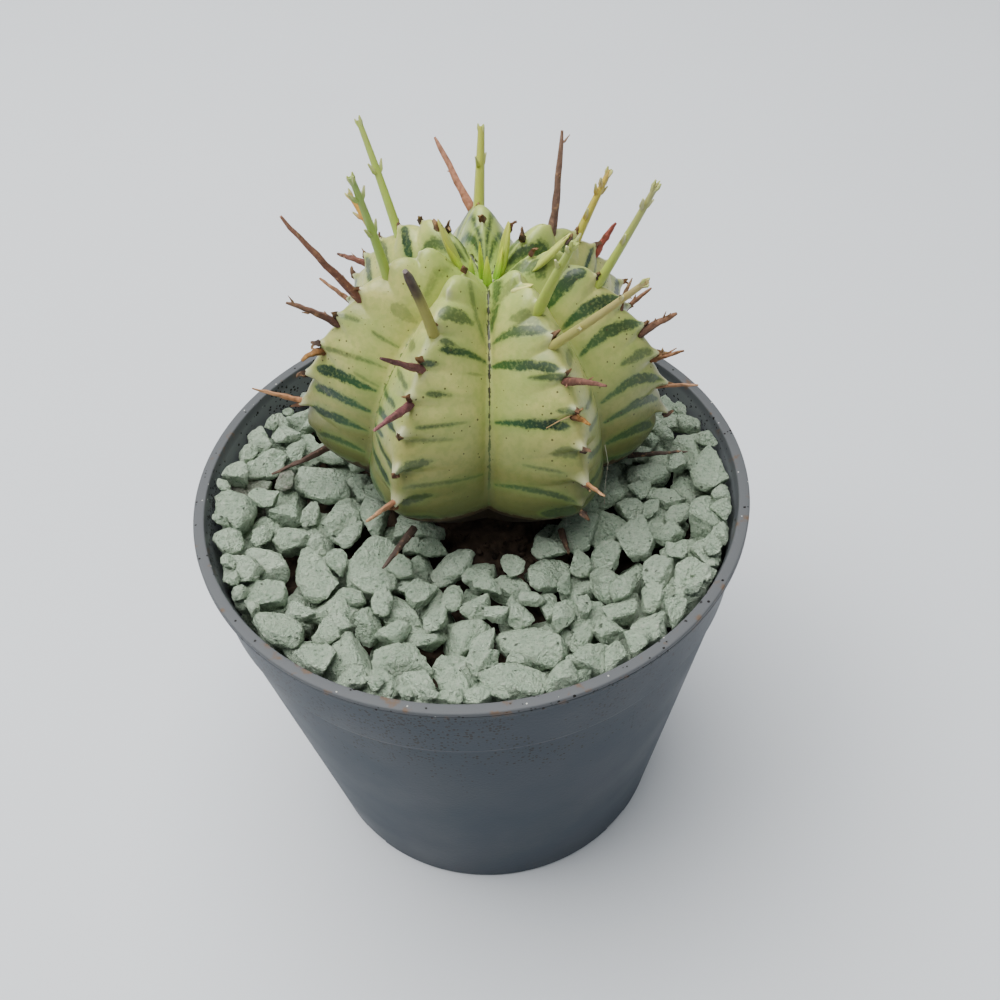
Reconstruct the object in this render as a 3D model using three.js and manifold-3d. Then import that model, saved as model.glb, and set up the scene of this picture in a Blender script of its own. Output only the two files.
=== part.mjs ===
// A young variegated melon spurge, a ribbed globe-shaped succulent, in a small round plastic pot.
// Four pieces: the pot, the soil in it, the plant standing in a hole in the soil, and a top layer of stone chips.
// Millimetres, +Z up. The origin is the middle of the pot's underside, and -Y is the front.
import * as THREE from "three";
import { mergeVertices } from "three/addons/utils/BufferGeometryUtils.js";
import Module from "manifold-3d";

const wasm = await Module();
wasm.setup();

// Space kept between pieces that touch.
const GAP = 0.35;

// Pot
const RIM_RADIUS = 42.5;
const POT_HEIGHT = 71;
const BASE_RADIUS = 31.7;
const WALL = 1.2;
const LIP_WIDTH = 1.7;
const LIP_HEIGHT = 1.4;
const COLLAR_HEIGHT = 12;
const FLOOR_THICKNESS = 1.5;
const DRAIN_RECESS = 1.2;
const DRAIN_RING_RADIUS = 21;
const DRAIN_HOLE_RADIUS = 2.5;
const DRAIN_HOLES = 6;
const DRAIN_NOTCHES = 4;
const DRAIN_NOTCH_WIDTH = 5;
const POT_SEGMENTS = 48;

// Soil and stone chips, measured down from the pot's rim
const SOIL_DEPTH = 12;
const SOIL_SEGMENTS = 32;
const MOUND_RADIUS = 17;
const MOUND_RISE = 5.4;
const BED_THICKNESS = 3.2;
const BED_SEGMENTS = 36;
const CHIP_SPACING = 6.3;
const CHIP_TOP_DEPTH = 4.4;
const CHIP_FRONT_RISE = 0.03;
const CHIP_SIDE_RISE = 1.6;
const CHIP_HALF_SIZES = [4.1, 3.4, 2.8];
const CHIP_RAGGEDNESS = 0.2;
const HOLLOW_WIDTH = 9;
const HOLLOW_REACH = 8;

// Plant: its middle, its lean from upright, and the globe that the rib crests lie on
const PLANT_CENTRE = new THREE.Vector3(2.8, 11.4, 77.1);
const LEAN_BACK_DEG = 2.3;
const LEAN_RIGHT_DEG = 4;
const CREST_RADIUS_TOP = 28.5;
const CREST_RADIUS_BOTTOM = 25.8;
const CROWN_DIP = 7.4;
const CROWN_DIP_DEG = 11;
const FURROW_SHARE = 0.23;
const UNDERSIDE_DEG = 108;
const NECK_RADIUS = 8.5;
const NECK_DEPTH = 15;
const ROOT_LENGTH = 26;
const NODE_STEP_DEG = 10.3;
const TOOTH_HEIGHT = 1.5;
const TOOTH_HALF_WIDTH = 0.22;

// Stalks: old flower stalks that stay on the rib edges, fresh ones green and older ones dry
const FRESH = { foot: 0.95, tip: 0.55, sides: 6 };
const DRY = { foot: 0.65, tip: 0.32, sides: 4 };
const STALK_SINK = 2.2;
const STALK_LIFT_DEG = 7;
const LEAF_BASE = { foot: 1.3, tip: 0.6, length: 2, sides: 5 };

// The seven ribs, clockwise from the front left as seen from above. first is the crown angle of the rib's
// youngest node, and each entry of stalks is [node, kind, length, extra lift, sideways lean in degrees].
const RIBS = [
  {
    azimuth: -28,
    first: 15,
    stalks: [
      [2, FRESH, 16.3, 3, 2],
      [3, DRY, 11.3, -12, -4],
      [4, DRY, 12.5, -17, 6],
      [7, DRY, 8.6, 6, -4],
      [9, DRY, 7, 9, -2],
    ],
  },
  {
    azimuth: 28,
    first: 8.5,
    stalks: [
      [2, FRESH, 15.8, -1, 1],
      [3, FRESH, 22, -8, 8],
      [4, DRY, 10.8, -13, 0],
      [5, DRY, 5, -6, -3],
      [7, DRY, 6.3, 0, 0],
      [10, DRY, 3, 0, -15],
    ],
  },
  {
    azimuth: 78,
    first: 14,
    stalks: [
      [2, FRESH, 17.4, 4, 1],
      [3, DRY, 4.6, 30, 24],
      [4, DRY, 7, 1, 2],
      [5, DRY, 5.3, 0, 1],
      [6, DRY, 7, 0, -1],
      [9, DRY, 7, 12, 8],
    ],
  },
  {
    azimuth: 120,
    first: 13,
    stalks: [
      [1, DRY, 14.5, 5, 8],
      [2, FRESH, 12, 1, 4],
      [3, DRY, 6, 0, 0],
      [4, DRY, 3.5, 5, 5],
      [6, DRY, 7, 0, 4],
      [8, DRY, 5, 0, -6],
    ],
  },
  {
    azimuth: 184,
    first: 15,
    stalks: [
      [1, FRESH, 12.3, 0, -4],
      [2, DRY, 12.5, -4, 23],
      [4, DRY, 6, 0, -8],
      [5, DRY, 4, 3, 4],
      [7, DRY, 5, 0, 6],
    ],
  },
  {
    azimuth: 231,
    first: 15,
    stalks: [
      [2, FRESH, 18.4, 2, -5],
      [3, FRESH, 10, -3, 2],
      [4, DRY, 5.5, -10, 14],
      [6, DRY, 8, 0, 3],
      [7, DRY, 4, 0, -9],
    ],
  },
  {
    azimuth: 282,
    first: 10,
    stalks: [
      [2, FRESH, 16, 5, 0],
      [3, DRY, 17.3, 0, -1],
      [4, DRY, 9.5, 1, -1],
      [5, DRY, 4, -6, 4],
      [7, DRY, 9.2, 8, -3],
      [9, DRY, 9.6, -5, 5],
    ],
  },
];
const NODES_PER_RIB = 11;

// Young leaves in the sunken crown: [length, distance from the middle, azimuth, outward lean in degrees]
const CROWN_LEAVES = [
  [6.5, 1.2, 190, 6],
  [4.2, 1.6, 20, 12],
  [4, 2.2, 280, 15],
  [5.6, 6, 225, 30],
  [5.2, 5, 130, 28],
  [4.6, 6.5, 112, 34],
  [5.5, 9, 80, 46],
  [3.4, 8.4, 32, 52],
];
const CROWN_LEAF = { foot: 0.9, tip: 0.3, sides: 5 };

const radians = THREE.MathUtils.degToRad;

// A small seeded random source, so that each build is the same.
function seededRandom(seed) {
  let state = seed;
  return () => {
    state = (state * 1664525 + 1013904223) % 4294967296;
    return state / 4294967296;
  };
}

// A closed three.js geometry as a solid for cutting and joining.
function solidOf(geometry) {
  const bare = geometry.clone();
  bare.deleteAttribute("normal");
  bare.deleteAttribute("uv");
  const merged = mergeVertices(bare, 1e-3);
  return new wasm.Manifold(
    new wasm.Mesh({
      numProp: 3,
      vertProperties: new Float32Array(merged.attributes.position.array),
      triVerts: new Uint32Array(merged.index.array),
    }),
  );
}

// The solid's largest body as a three.js geometry.
function geometryOf(solid) {
  const bodies = solid.decompose();
  const largest = bodies.reduce((a, b) => (b.volume() > a.volume() ? b : a));
  const mesh = largest.getMesh();
  const geometry = new THREE.BufferGeometry();
  geometry.setAttribute("position", new THREE.BufferAttribute(mesh.vertProperties, 3));
  geometry.setIndex(new THREE.BufferAttribute(mesh.triVerts, 1));
  geometry.computeVertexNormals();
  return geometry;
}

// A round solid from a closed profile of [radius, height] points.
function turned(profile, segments) {
  const points = profile.map(([r, z]) => new THREE.Vector2(r, z));
  return new THREE.LatheGeometry(points, segments).rotateX(Math.PI / 2);
}

function named(name, geometry, colour, roughness) {
  const material = new THREE.MeshStandardMaterial({ color: colour, roughness, metalness: 0 });
  const mesh = new THREE.Mesh(geometry, material);
  mesh.name = name;
  return mesh;
}

// Pot

const collarZ = POT_HEIGHT - COLLAR_HEIGHT;
const lipZ = POT_HEIGHT - LIP_HEIGHT;
const collarTopRadius = RIM_RADIUS - 0.9;
const collarFootRadius = RIM_RADIUS - 1.6;
const wallTopRadius = collarFootRadius - 0.4;

// Radius of the pot's inside at a height.
function insideRadius(z) {
  if (z > collarZ) {
    return THREE.MathUtils.mapLinear(z, collarZ, lipZ, collarFootRadius, collarTopRadius) - WALL;
  }
  return THREE.MathUtils.mapLinear(z, 0, collarZ, BASE_RADIUS, wallTopRadius) - WALL;
}

function makePot() {
  const floorTop = DRAIN_RECESS + FLOOR_THICKNESS;
  const recessInner = DRAIN_RING_RADIUS - 6;
  const recessOuter = DRAIN_RING_RADIUS + 6;
  const body = solidOf(
    turned(
      [
        [0, 0],
        [recessInner, 0],
        [recessInner + 0.4, DRAIN_RECESS],
        [recessOuter - 0.4, DRAIN_RECESS],
        [recessOuter, 0],
        [BASE_RADIUS - 0.7, 0],
        [BASE_RADIUS, 0.8],
        [wallTopRadius, collarZ - 0.6],
        [collarFootRadius, collarZ + 0.2],
        [collarTopRadius, lipZ - 0.3],
        [RIM_RADIUS, lipZ],
        [RIM_RADIUS, POT_HEIGHT],
        [RIM_RADIUS - LIP_WIDTH, POT_HEIGHT],
        [collarTopRadius - WALL, lipZ],
        [insideRadius(collarZ + 0.2), collarZ + 0.2],
        [insideRadius(collarZ - 0.6), collarZ - 0.6],
        [insideRadius(floorTop + 1) - 0.2, floorTop + 1],
        [insideRadius(floorTop) - 1.2, floorTop],
        [0, floorTop],
      ],
      POT_SEGMENTS,
    ),
  );
  const cuts = [];
  for (let i = 0; i < DRAIN_HOLES; i++) {
    const hole = new THREE.CylinderGeometry(DRAIN_HOLE_RADIUS, DRAIN_HOLE_RADIUS, 3 * floorTop, 10);
    hole.rotateX(Math.PI / 2).translate(DRAIN_RING_RADIUS, 0, 0);
    cuts.push(solidOf(hole.rotateZ((2 * Math.PI * i) / DRAIN_HOLES)));
  }
  for (let i = 0; i < DRAIN_NOTCHES; i++) {
    const length = BASE_RADIUS - recessOuter + 3;
    const notch = new THREE.BoxGeometry(length, DRAIN_NOTCH_WIDTH, 2 * DRAIN_RECESS);
    notch.translate(recessOuter - 1 + length / 2, 0, 0);
    cuts.push(solidOf(notch.rotateZ((2 * Math.PI * (i + 0.5)) / DRAIN_NOTCHES)));
  }
  return cuts.reduce((pot, cut) => pot.subtract(cut), body);
}

// Plant

// Position in the plant's own frame, for a distance from its middle and two angles in radians.
function onGlobe(distance, crown, azimuth) {
  return new THREE.Vector3(
    distance * Math.sin(crown) * Math.sin(azimuth),
    -distance * Math.sin(crown) * Math.cos(azimuth),
    distance * Math.cos(crown),
  );
}

// How far the rib crests lie from the plant's middle, before their teeth.
function crestDistance(crownDeg) {
  const globe = THREE.MathUtils.mapLinear(crownDeg, 0, 120, CREST_RADIUS_TOP, CREST_RADIUS_BOTTOM);
  return globe - CROWN_DIP * Math.exp(-((crownDeg / CROWN_DIP_DEG) ** 2));
}

// How deep the furrows are cut between the crests, as a share of the crest's distance.
function furrowShare(crownDeg) {
  const opening = THREE.MathUtils.smoothstep(crownDeg, 0, 30);
  const closing = 1 - 0.45 * THREE.MathUtils.smoothstep(crownDeg, 80, UNDERSIDE_DEG);
  return FURROW_SHARE * opening * closing;
}

// A tooth rises slowly from each stalk down to the next leaf base, and drops sharply at the next stalk.
function toothHeight(crownDeg, first) {
  const turns = (crownDeg - first) / NODE_STEP_DEG;
  const phase = turns - Math.floor(turns);
  const rise = phase < 0.8 ? (phase / 0.8) ** 1.2 : (1 - phase) / 0.2;
  return TOOTH_HEIGHT * rise * THREE.MathUtils.smoothstep(crownDeg, 12, 30);
}

// The body's columns: for each rib, its left furrow, flanks and crest.
function bodyColumns() {
  const shares = [-1, -0.55, -0.2, 0, 0.2, 0.55];
  const columns = [];
  RIBS.forEach((rib, i) => {
    const before = RIBS[(i + RIBS.length - 1) % RIBS.length];
    const after = RIBS[(i + 1) % RIBS.length];
    const gapBefore = (((rib.azimuth - before.azimuth) % 360) + 360) % 360;
    const gapAfter = (((after.azimuth - rib.azimuth) % 360) + 360) % 360;
    for (const share of shares) {
      const neighbour = share < 0 ? before : after;
      const halfGap = (share < 0 ? gapBefore : gapAfter) / 2;
      const blend = Math.abs(share) / 2;
      columns.push({
        share: Math.abs(share),
        azimuth: radians(rib.azimuth + share * halfGap),
        first: rib.first * (1 - blend) + neighbour.first * blend,
      });
    }
  });
  return columns;
}

// A point of the ribbed skin, standing clearance outside the true one.
function skinPoint(column, crownDeg, clearance) {
  const crest = crestDistance(crownDeg);
  const flank = 0.6 * column.share + 0.4 * column.share ** 2.4;
  const tooth = toothHeight(crownDeg, column.first) * Math.exp(-((column.share / TOOTH_HALF_WIDTH) ** 2));
  const distance = crest * (1 - furrowShare(crownDeg) * flank) + tooth + clearance;
  return onGlobe(distance, radians(crownDeg), column.azimuth);
}

// Crown angles of the skin's rows on one column, with three rows to each tooth.
function rowAngles(first) {
  const angles = [2.5, 5, 8];
  const start = first - NODE_STEP_DEG * Math.floor((first - 10.5) / NODE_STEP_DEG);
  for (let node = 0; node < 8; node++) {
    for (const phase of [0.02, 0.45, 0.8]) {
      angles.push(start + NODE_STEP_DEG * (node + phase));
    }
  }
  angles.push((angles.at(-1) + UNDERSIDE_DEG) / 2, UNDERSIDE_DEG);
  return angles;
}

// The globe, its flat underside, neck and tap root, as one closed skin.
function bodyGeometry(clearance) {
  const columns = bodyColumns();
  const rings = [];
  const rowCount = rowAngles(RIBS[0].first).length;
  for (let row = 0; row < rowCount; row++) {
    rings.push(columns.map((c) => skinPoint(c, rowAngles(c.first)[row], clearance)));
  }
  const below = [
    [0.8 * CREST_RADIUS_BOTTOM, -NECK_DEPTH + 4.2, 0.7],
    [NECK_RADIUS + 4, -NECK_DEPTH + 2.6, 0.2],
    [NECK_RADIUS, -NECK_DEPTH, 0],
    [NECK_RADIUS * 0.8, -NECK_DEPTH - 8, 0],
    [NECK_RADIUS * 0.35, -NECK_DEPTH - ROOT_LENGTH * 0.8, 0],
  ];
  for (const [radius, z, ribbing] of below) {
    rings.push(
      columns.map((c) => {
        const r = radius * (1 - 0.16 * ribbing * c.share) + clearance;
        return new THREE.Vector3(r * Math.sin(c.azimuth), -r * Math.cos(c.azimuth), z - clearance);
      }),
    );
  }
  const points = [
    onGlobe(crestDistance(0) + clearance, 0, 0),
    ...rings.flat(),
    new THREE.Vector3(0, 0, -NECK_DEPTH - ROOT_LENGTH - clearance),
  ];
  const across = columns.length;
  const indices = [];
  for (let i = 0; i < across; i++) {
    const next = (i + 1) % across;
    indices.push(0, 1 + i, 1 + next);
    for (let ring = 0; ring + 1 < rings.length; ring++) {
      const upper = 1 + ring * across;
      const lower = upper + across;
      indices.push(upper + i, lower + i, lower + next);
      indices.push(upper + i, lower + next, upper + next);
    }
    const last = 1 + (rings.length - 1) * across;
    indices.push(last + i, points.length - 1, last + next);
  }
  const geometry = new THREE.BufferGeometry().setFromPoints(points);
  geometry.setIndex(indices);
  return geometry;
}

// A tapered stalk from a foot point along a direction, its root sunk in.
function stalkGeometry(kind, foot, direction, length, clearance) {
  const whole = length + STALK_SINK;
  const geometry = new THREE.CylinderGeometry(kind.tip + clearance, kind.foot + clearance, whole, kind.sides, 1);
  geometry.translate(0, whole / 2 - STALK_SINK, 0);
  const turn = new THREE.Quaternion().setFromUnitVectors(new THREE.Vector3(0, 1, 0), direction);
  return geometry.applyQuaternion(turn).translate(foot.x, foot.y, foot.z);
}

// Direction in a rib's own plane: outward, turned up by the elevation and sideways by the lean.
function ribDirection(azimuthDeg, elevationDeg, sideDeg) {
  const direction = onGlobe(1, radians(90 - elevationDeg), radians(azimuthDeg));
  const side = onGlobe(1, Math.PI / 2, radians(azimuthDeg + 90));
  return direction.addScaledVector(side, Math.tan(radians(sideDeg))).normalize();
}

function plantPieces(clearance) {
  const pieces = [solidOf(bodyGeometry(clearance))];
  for (const rib of RIBS) {
    for (let node = 0; node < NODES_PER_RIB; node++) {
      const crownDeg = rib.first + NODE_STEP_DEG * node;
      if (crownDeg > UNDERSIDE_DEG - 2) break;
      // The leaf base stands on the tooth above the stalk.
      const baseDeg = crownDeg - 0.22 * NODE_STEP_DEG;
      if (baseDeg > 14) {
        const foot = onGlobe(crestDistance(baseDeg) + 0.6, radians(baseDeg), radians(rib.azimuth));
        const out = ribDirection(rib.azimuth, 90 - baseDeg + 4, 0);
        const length = LEAF_BASE.length * (0.6 + (0.6 * baseDeg) / 90);
        pieces.push(solidOf(stalkGeometry(LEAF_BASE, foot, out, length, clearance)));
      }
      const stalk = rib.stalks.find(([index]) => index === node);
      if (stalk) {
        const [, kind, length, lift, side] = stalk;
        const foot = onGlobe(crestDistance(crownDeg), radians(crownDeg), radians(rib.azimuth));
        const out = ribDirection(rib.azimuth, 90 - crownDeg + STALK_LIFT_DEG + lift, side);
        pieces.push(solidOf(stalkGeometry(kind, foot, out, length, clearance)));
      }
    }
  }
  for (const [length, distance, azimuth, lean] of CROWN_LEAVES) {
    const crown = Math.asin(distance / crestDistance(20));
    const foot = onGlobe(crestDistance(THREE.MathUtils.radToDeg(crown)) - 0.6, crown, radians(azimuth));
    const out = ribDirection(azimuth, 90 - lean, 0);
    pieces.push(solidOf(stalkGeometry(CROWN_LEAF, foot, out, length, clearance)));
  }
  return pieces;
}

// From the plant's own frame to the pot's.
const plantPlace = new THREE.Matrix4()
  .makeRotationY(radians(LEAN_RIGHT_DEG))
  .multiply(new THREE.Matrix4().makeRotationX(radians(-LEAN_BACK_DEG)))
  .setPosition(PLANT_CENTRE);

function makePlant(clearance) {
  return wasm.Manifold.union(plantPieces(clearance)).transform(plantPlace.elements);
}

// Soil

const soilTop = POT_HEIGHT - SOIL_DEPTH;

// The filled space, with a low mound round the plant's neck, standing clearance outside the true one.
function soilBlank(clearance) {
  const floorTop = DRAIN_RECESS + FLOOR_THICKNESS + GAP;
  const topRadius = insideRadius(soilTop) - GAP;
  const filling = turned(
    [
      [0, floorTop],
      [insideRadius(floorTop) - 1.2 - GAP, floorTop],
      [insideRadius(floorTop + 2) - GAP, floorTop + 2],
      [insideRadius(collarZ - 0.6) - GAP, collarZ - 0.6],
      [topRadius, soilTop + clearance],
      [0, soilTop + clearance],
    ],
    SOIL_SEGMENTS,
  );
  const mound = turned(
    [
      [0, soilTop - 4],
      [MOUND_RADIUS + 4.5 + clearance, soilTop - 4],
      [MOUND_RADIUS + 4.5 + clearance, soilTop - 1 + clearance],
      [MOUND_RADIUS + 1.5 + clearance, soilTop + 0.7 * MOUND_RISE + clearance],
      [MOUND_RADIUS - 3, soilTop + MOUND_RISE + clearance],
      [0, soilTop + MOUND_RISE + clearance],
    ],
    SOIL_SEGMENTS,
  );
  mound.translate(PLANT_CENTRE.x, PLANT_CENTRE.y - 1.5, 0);
  return solidOf(filling).add(solidOf(mound));
}

// Stone chips

// Height that the chips' tops lie at, a little higher towards the front and the two sides.
function chipLevel(x, y) {
  return POT_HEIGHT - CHIP_TOP_DEPTH - CHIP_FRONT_RISE * y + CHIP_SIDE_RISE * (x / RIM_RADIUS) ** 2;
}

// One broken stone: an icosahedron with its corners pulled about, stretched and turned.
function chipGeometry(random, halfSizes) {
  const geometry = new THREE.IcosahedronGeometry(1, 0);
  geometry.deleteAttribute("normal");
  geometry.deleteAttribute("uv");
  const chip = mergeVertices(geometry, 1e-3);
  const corners = chip.getAttribute("position");
  for (let i = 0; i < corners.count; i++) {
    const pull = 1 + CHIP_RAGGEDNESS * (random() - 0.5) * 2;
    corners.setXYZ(i, corners.getX(i) * pull, corners.getY(i) * pull, corners.getZ(i) * pull);
  }
  chip.rotateX(random() * Math.PI).rotateY(random() * Math.PI);
  chip.scale(...halfSizes);
  return chip.rotateX((random() - 0.5) * 0.9).rotateZ(random() * 2 * Math.PI);
}

// Whether a chip may lie at a place: clear of the plant and of the bare hollow in front of it.
function chipFits(x, y) {
  const fromPlant = Math.hypot(x - PLANT_CENTRE.x, y - PLANT_CENTRE.y);
  const inHollow =
    Math.abs(x - PLANT_CENTRE.x) < HOLLOW_WIDTH && y < PLANT_CENTRE.y && fromPlant < MOUND_RADIUS + HOLLOW_REACH;
  return fromPlant > MOUND_RADIUS + 4.5 && !inHollow;
}

function makeChips() {
  const random = seededRandom(71);
  const bedFoot = soilTop + GAP;
  const bedTop = bedFoot + BED_THICKNESS;
  const edge = insideRadius(soilTop) - GAP;
  const bed = turned(
    [
      [0, bedFoot],
      [edge, bedFoot],
      [edge, bedTop],
      [0, bedTop],
    ],
    BED_SEGMENTS,
  );
  const pieces = [solidOf(bed)];
  const reach = Math.ceil(edge / CHIP_SPACING);
  for (let row = -reach - 1; row <= reach + 1; row++) {
    for (let column = -reach; column <= reach; column++) {
      const x = CHIP_SPACING * (column + (row % 2 ? 0.5 : 0) + 0.35 * (random() - 0.5));
      const y = CHIP_SPACING * (0.866 * row + 0.35 * (random() - 0.5));
      const sizes = CHIP_HALF_SIZES.map((size) => size * (0.75 + 0.55 * random()));
      const chip = chipGeometry(random, sizes);
      const drop = 1.6 * random();
      if (Math.hypot(x, y) > edge - 0.6 || !chipFits(x, y)) continue;
      const z = chipLevel(x, y) - 0.85 * sizes[2] - drop;
      pieces.push(solidOf(chip.translate(x, y, z)));
    }
  }
  const inside = solidOf(
    turned(
      [
        [0, bedFoot],
        [edge, bedFoot],
        [insideRadius(lipZ) - GAP, POT_HEIGHT],
        [0, POT_HEIGHT],
      ],
      BED_SEGMENTS,
    ),
  );
  return wasm.Manifold.union(pieces).intersect(inside);
}

const plant = makePlant(0);
const roomForPlant = makePlant(GAP);
const soil = soilBlank(0).subtract(roomForPlant);
const chips = makeChips().subtract(soilBlank(GAP)).subtract(roomForPlant);

const spurge = new THREE.Group();
spurge.add(named("pot", geometryOf(makePot()), 0x6b6d72, 0.55));
spurge.add(named("soil", geometryOf(soil), 0x2b201a, 0.95));
spurge.add(named("stone_chips", geometryOf(chips), 0xa9bdaa, 0.9));
spurge.add(named("plant", geometryOf(plant), 0xc9cf94, 0.5));

export default spurge;
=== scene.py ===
"""Shows a potted variegated melon spurge: plastic pot, soil, stone chips and the ribbed, banded plant."""

import math
import random

import bpy
import numpy as np
from mathutils import Matrix, Vector


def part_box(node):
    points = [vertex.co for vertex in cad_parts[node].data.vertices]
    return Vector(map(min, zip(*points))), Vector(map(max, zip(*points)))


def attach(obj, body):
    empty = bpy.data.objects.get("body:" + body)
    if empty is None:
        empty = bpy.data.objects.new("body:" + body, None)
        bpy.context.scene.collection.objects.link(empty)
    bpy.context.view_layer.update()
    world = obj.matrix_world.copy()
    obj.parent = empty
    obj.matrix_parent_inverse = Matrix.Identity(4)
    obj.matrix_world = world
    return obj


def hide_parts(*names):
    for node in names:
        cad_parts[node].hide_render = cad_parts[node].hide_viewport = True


bl_info = {
    "name": "Potted melon spurge",
    "version": (1, 0, 0),
    "blender": (4, 5, 0),
    "location": "3D View > Sidebar > Spurge",
    "description": "Builds a ribbed, banded succulent in a small pot topped with stone chips",
    "category": "Add Mesh",
}

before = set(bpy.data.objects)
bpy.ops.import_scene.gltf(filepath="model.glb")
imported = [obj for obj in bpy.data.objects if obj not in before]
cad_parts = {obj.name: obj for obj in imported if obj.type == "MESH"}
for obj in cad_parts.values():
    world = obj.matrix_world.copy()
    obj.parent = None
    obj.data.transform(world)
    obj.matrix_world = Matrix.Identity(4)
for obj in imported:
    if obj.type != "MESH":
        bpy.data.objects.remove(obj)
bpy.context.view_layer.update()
POT_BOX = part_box("pot")

MM = 0.001
RIM_RADIUS = POT_BOX[1].x / MM
POT_HEIGHT = POT_BOX[1].z / MM

# The pot's profile in millimetres, as in the solids
BASE_RADIUS = 31.7
WALL = 1.2
LIP_WIDTH = 1.7
LIP_HEIGHT = 1.4
COLLAR_Z = POT_HEIGHT - 12
LIP_Z = POT_HEIGHT - LIP_HEIGHT
COLLAR_TOP = RIM_RADIUS - 0.9
COLLAR_FOOT = RIM_RADIUS - 1.6
WALL_TOP = COLLAR_FOOT - 0.4
FLOOR_TOP = 2.7
HOLE_RING = 21  # the drain holes' distance from the middle
NOTCH_RING = 29.8
NOTCH_SIZE = (7.7, 5, 2.4)
SOIL_TOP = POT_HEIGHT - 12
SOIL_GAP = 0.4  # between the soil's side and the wall
MOUND_RISE = 5.4
MOUND_FOOT = 21.5
MOUND_BROW = 13
BED_RADIUS = 39  # of the stone chips

# The plant: its middle, its lean, and its skin
PLANT_CENTRE = Vector((2.8, 11.4, 77.1))
LEAN = Matrix.Rotation(math.radians(4), 3, "Y") @ Matrix.Rotation(math.radians(-2.3), 3, "X")
NODE_STEP = 10.3
UNDERSIDE = 108

# Each rib: azimuth, crown angle of its youngest node, and its stalks as (node, fresh, length, girth, lift, sideways
# lean, foot colour, tip colour, bend, where along it bracts or snags stand).
RIBS = [
    (-28, 15, [
        (2, 2, 16.3, 1.15, 3.3, 2, "a59f58", "3a2630", 8, ()),
        (3, 0, 11.3, 0.85, -12.5, -4, "7a4c4a", "5e3a3c", -3, (0.2,)),
        (4, 0, 12.5, 0.8, -17.5, 6, "6b3d40", "925a5c", 2, (0.3,)),
        (7, 0, 8.6, 0.7, 5.8, -3.6, "9a6244", "c29a72", 0, ()),
        (9, 0, 7.2, 0.85, 9, -2, "46362b", "54433a", 0, ()),
    ]),
    (28, 8.5, [
        (2, 1, 15.8, 1.05, -1, 1, "a6b84c", "a3b05c", 6, (0.72, 0.9)),
        (3, 1, 22, 0.95, -7.8, 8.4, "a8a45a", "a8965f", -3, (0.42, 0.86)),
        (4, 0, 10.8, 0.75, -13.4, 0, "6f463c", "84584a", 5, (0.25, 0.6)),
        (5, 0, 4.6, 0.75, -6, -3, "5c3a24", "a8762e", 20, (0.5,)),
        (7, 0, 6.3, 0.6, 0.3, 0, "a5693f", "c09468", 2, (0.35,)),
        (10, 0, 2.8, 0.6, 0, -15, "4a3527", "55402f", 0, ()),
    ]),
    (78, 14, [
        (2, 1, 17.4, 0.9, 4.5, 1, "aabd4c", "a09d66", -3, (0.55, 0.82)),
        (3, 0, 4.6, 0.5, 31, 28, "6b4a34", "9a7a58", 20, ()),
        (4, 0, 6.6, 1, 0, 0, "5a3a2c", "8a6347", 4, (0.3, 0.5, 0.7, 0.85)),
        (5, 0, 5.3, 0.65, -5, -3.5, "7c5032", "8e6544", -4, (0.1, 0.3, 0.6)),
        (6, 0, 6.5, 0.5, -6, -4.6, "94694c", "ab8260", 3, ()),
        (9, 0, 7.9, 0.6, 20, 6, "3f3127", "54453a", 0, ()),
    ]),
    (120, 13, [
        (1, 0, 15, 0.88, 8.2, 6.4, "74564a", "8c6c58", -2, (0.62, 0.93)),
        (2, 1, 11.5, 0.95, 0.4, 0.4, "c0bb3e", "c2a24c", 3, (0.45, 0.7, 0.88)),
        (3, 0, 5.8, 0.95, -1, -1, "a4503e", "8f4436", 2, (0.5,)),
        (4, 0, 3.3, 0.6, 5, 5, "6d4a38", "7d5a44", 0, ()),
        (6, 0, 6.8, 0.7, 0, 4, "6f4a34", "8a6142", 4, (0.5,)),
        (8, 0, 4.8, 0.6, 0, -6, "4f3828", "5f4634", 0, ()),
    ]),
    (184, 15, [
        (1, 1, 12.6, 1.15, 0.4, -3, "b8c24e", "b9bd4c", 2, (0.6,)),
        (2, 0, 13.2, 1.05, -8, 25, "b0765a", "b98468", -3, (0.6,)),
        (4, 0, 5.8, 0.7, 0, -8, "7a4f3a", "8d6044", 4, (0.5,)),
        (5, 0, 3.8, 0.6, 3, 4, "6a4634", "8a6142", 6, ()),
        (7, 0, 4.8, 0.6, 0, 6, "4f3828", "6f5238", 0, ()),
    ]),
    (231, 15, [
        (2, 1, 17.4, 1, 3.3, -3.7, "a8c04e", "aebf5c", 4, (0.68,)),
        (3, 1, 9.6, 0.8, 0, 0.3, "d2b43a", "cd8c44", 4, (0.6,)),
        (4, 0, 6.4, 0.8, -40, 3, "7a4836", "5e4034", 9, (0.5,)),
        (6, 0, 7.8, 0.7, 0, 3, "74503a", "946a48", 4, (0.4,)),
        (7, 0, 3.8, 0.6, 0, -9, "4f3828", "6f5238", 0, ()),
    ]),
    (282, 10, [
        (2, 1, 16.2, 1, 10.7, 0, "9db84c", "8aa655", 4, (0.5, 0.83)),
        (3, 0, 17.3, 0.88, -1.9, 0.5, "74473b", "9c6f58", -3, (0.38, 0.85)),
        (4, 0, 8.8, 0.8, -5.4, 2.7, "573630", "8d6b55", 12, (0.35, 0.6, 0.9)),
        (5, 0, 4.3, 0.9, -2, 30, "6f4524", "a87a3c", 60, (0.4,)),
        (7, 0, 9.2, 0.65, 9.2, -6.5, "a8724c", "c4946a", 4, (0.25,)),
        (9, 0, 9.4, 0.7, -23, -5, "4a3428", "5e4a3e", -6, ()),
    ]),
]

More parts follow.
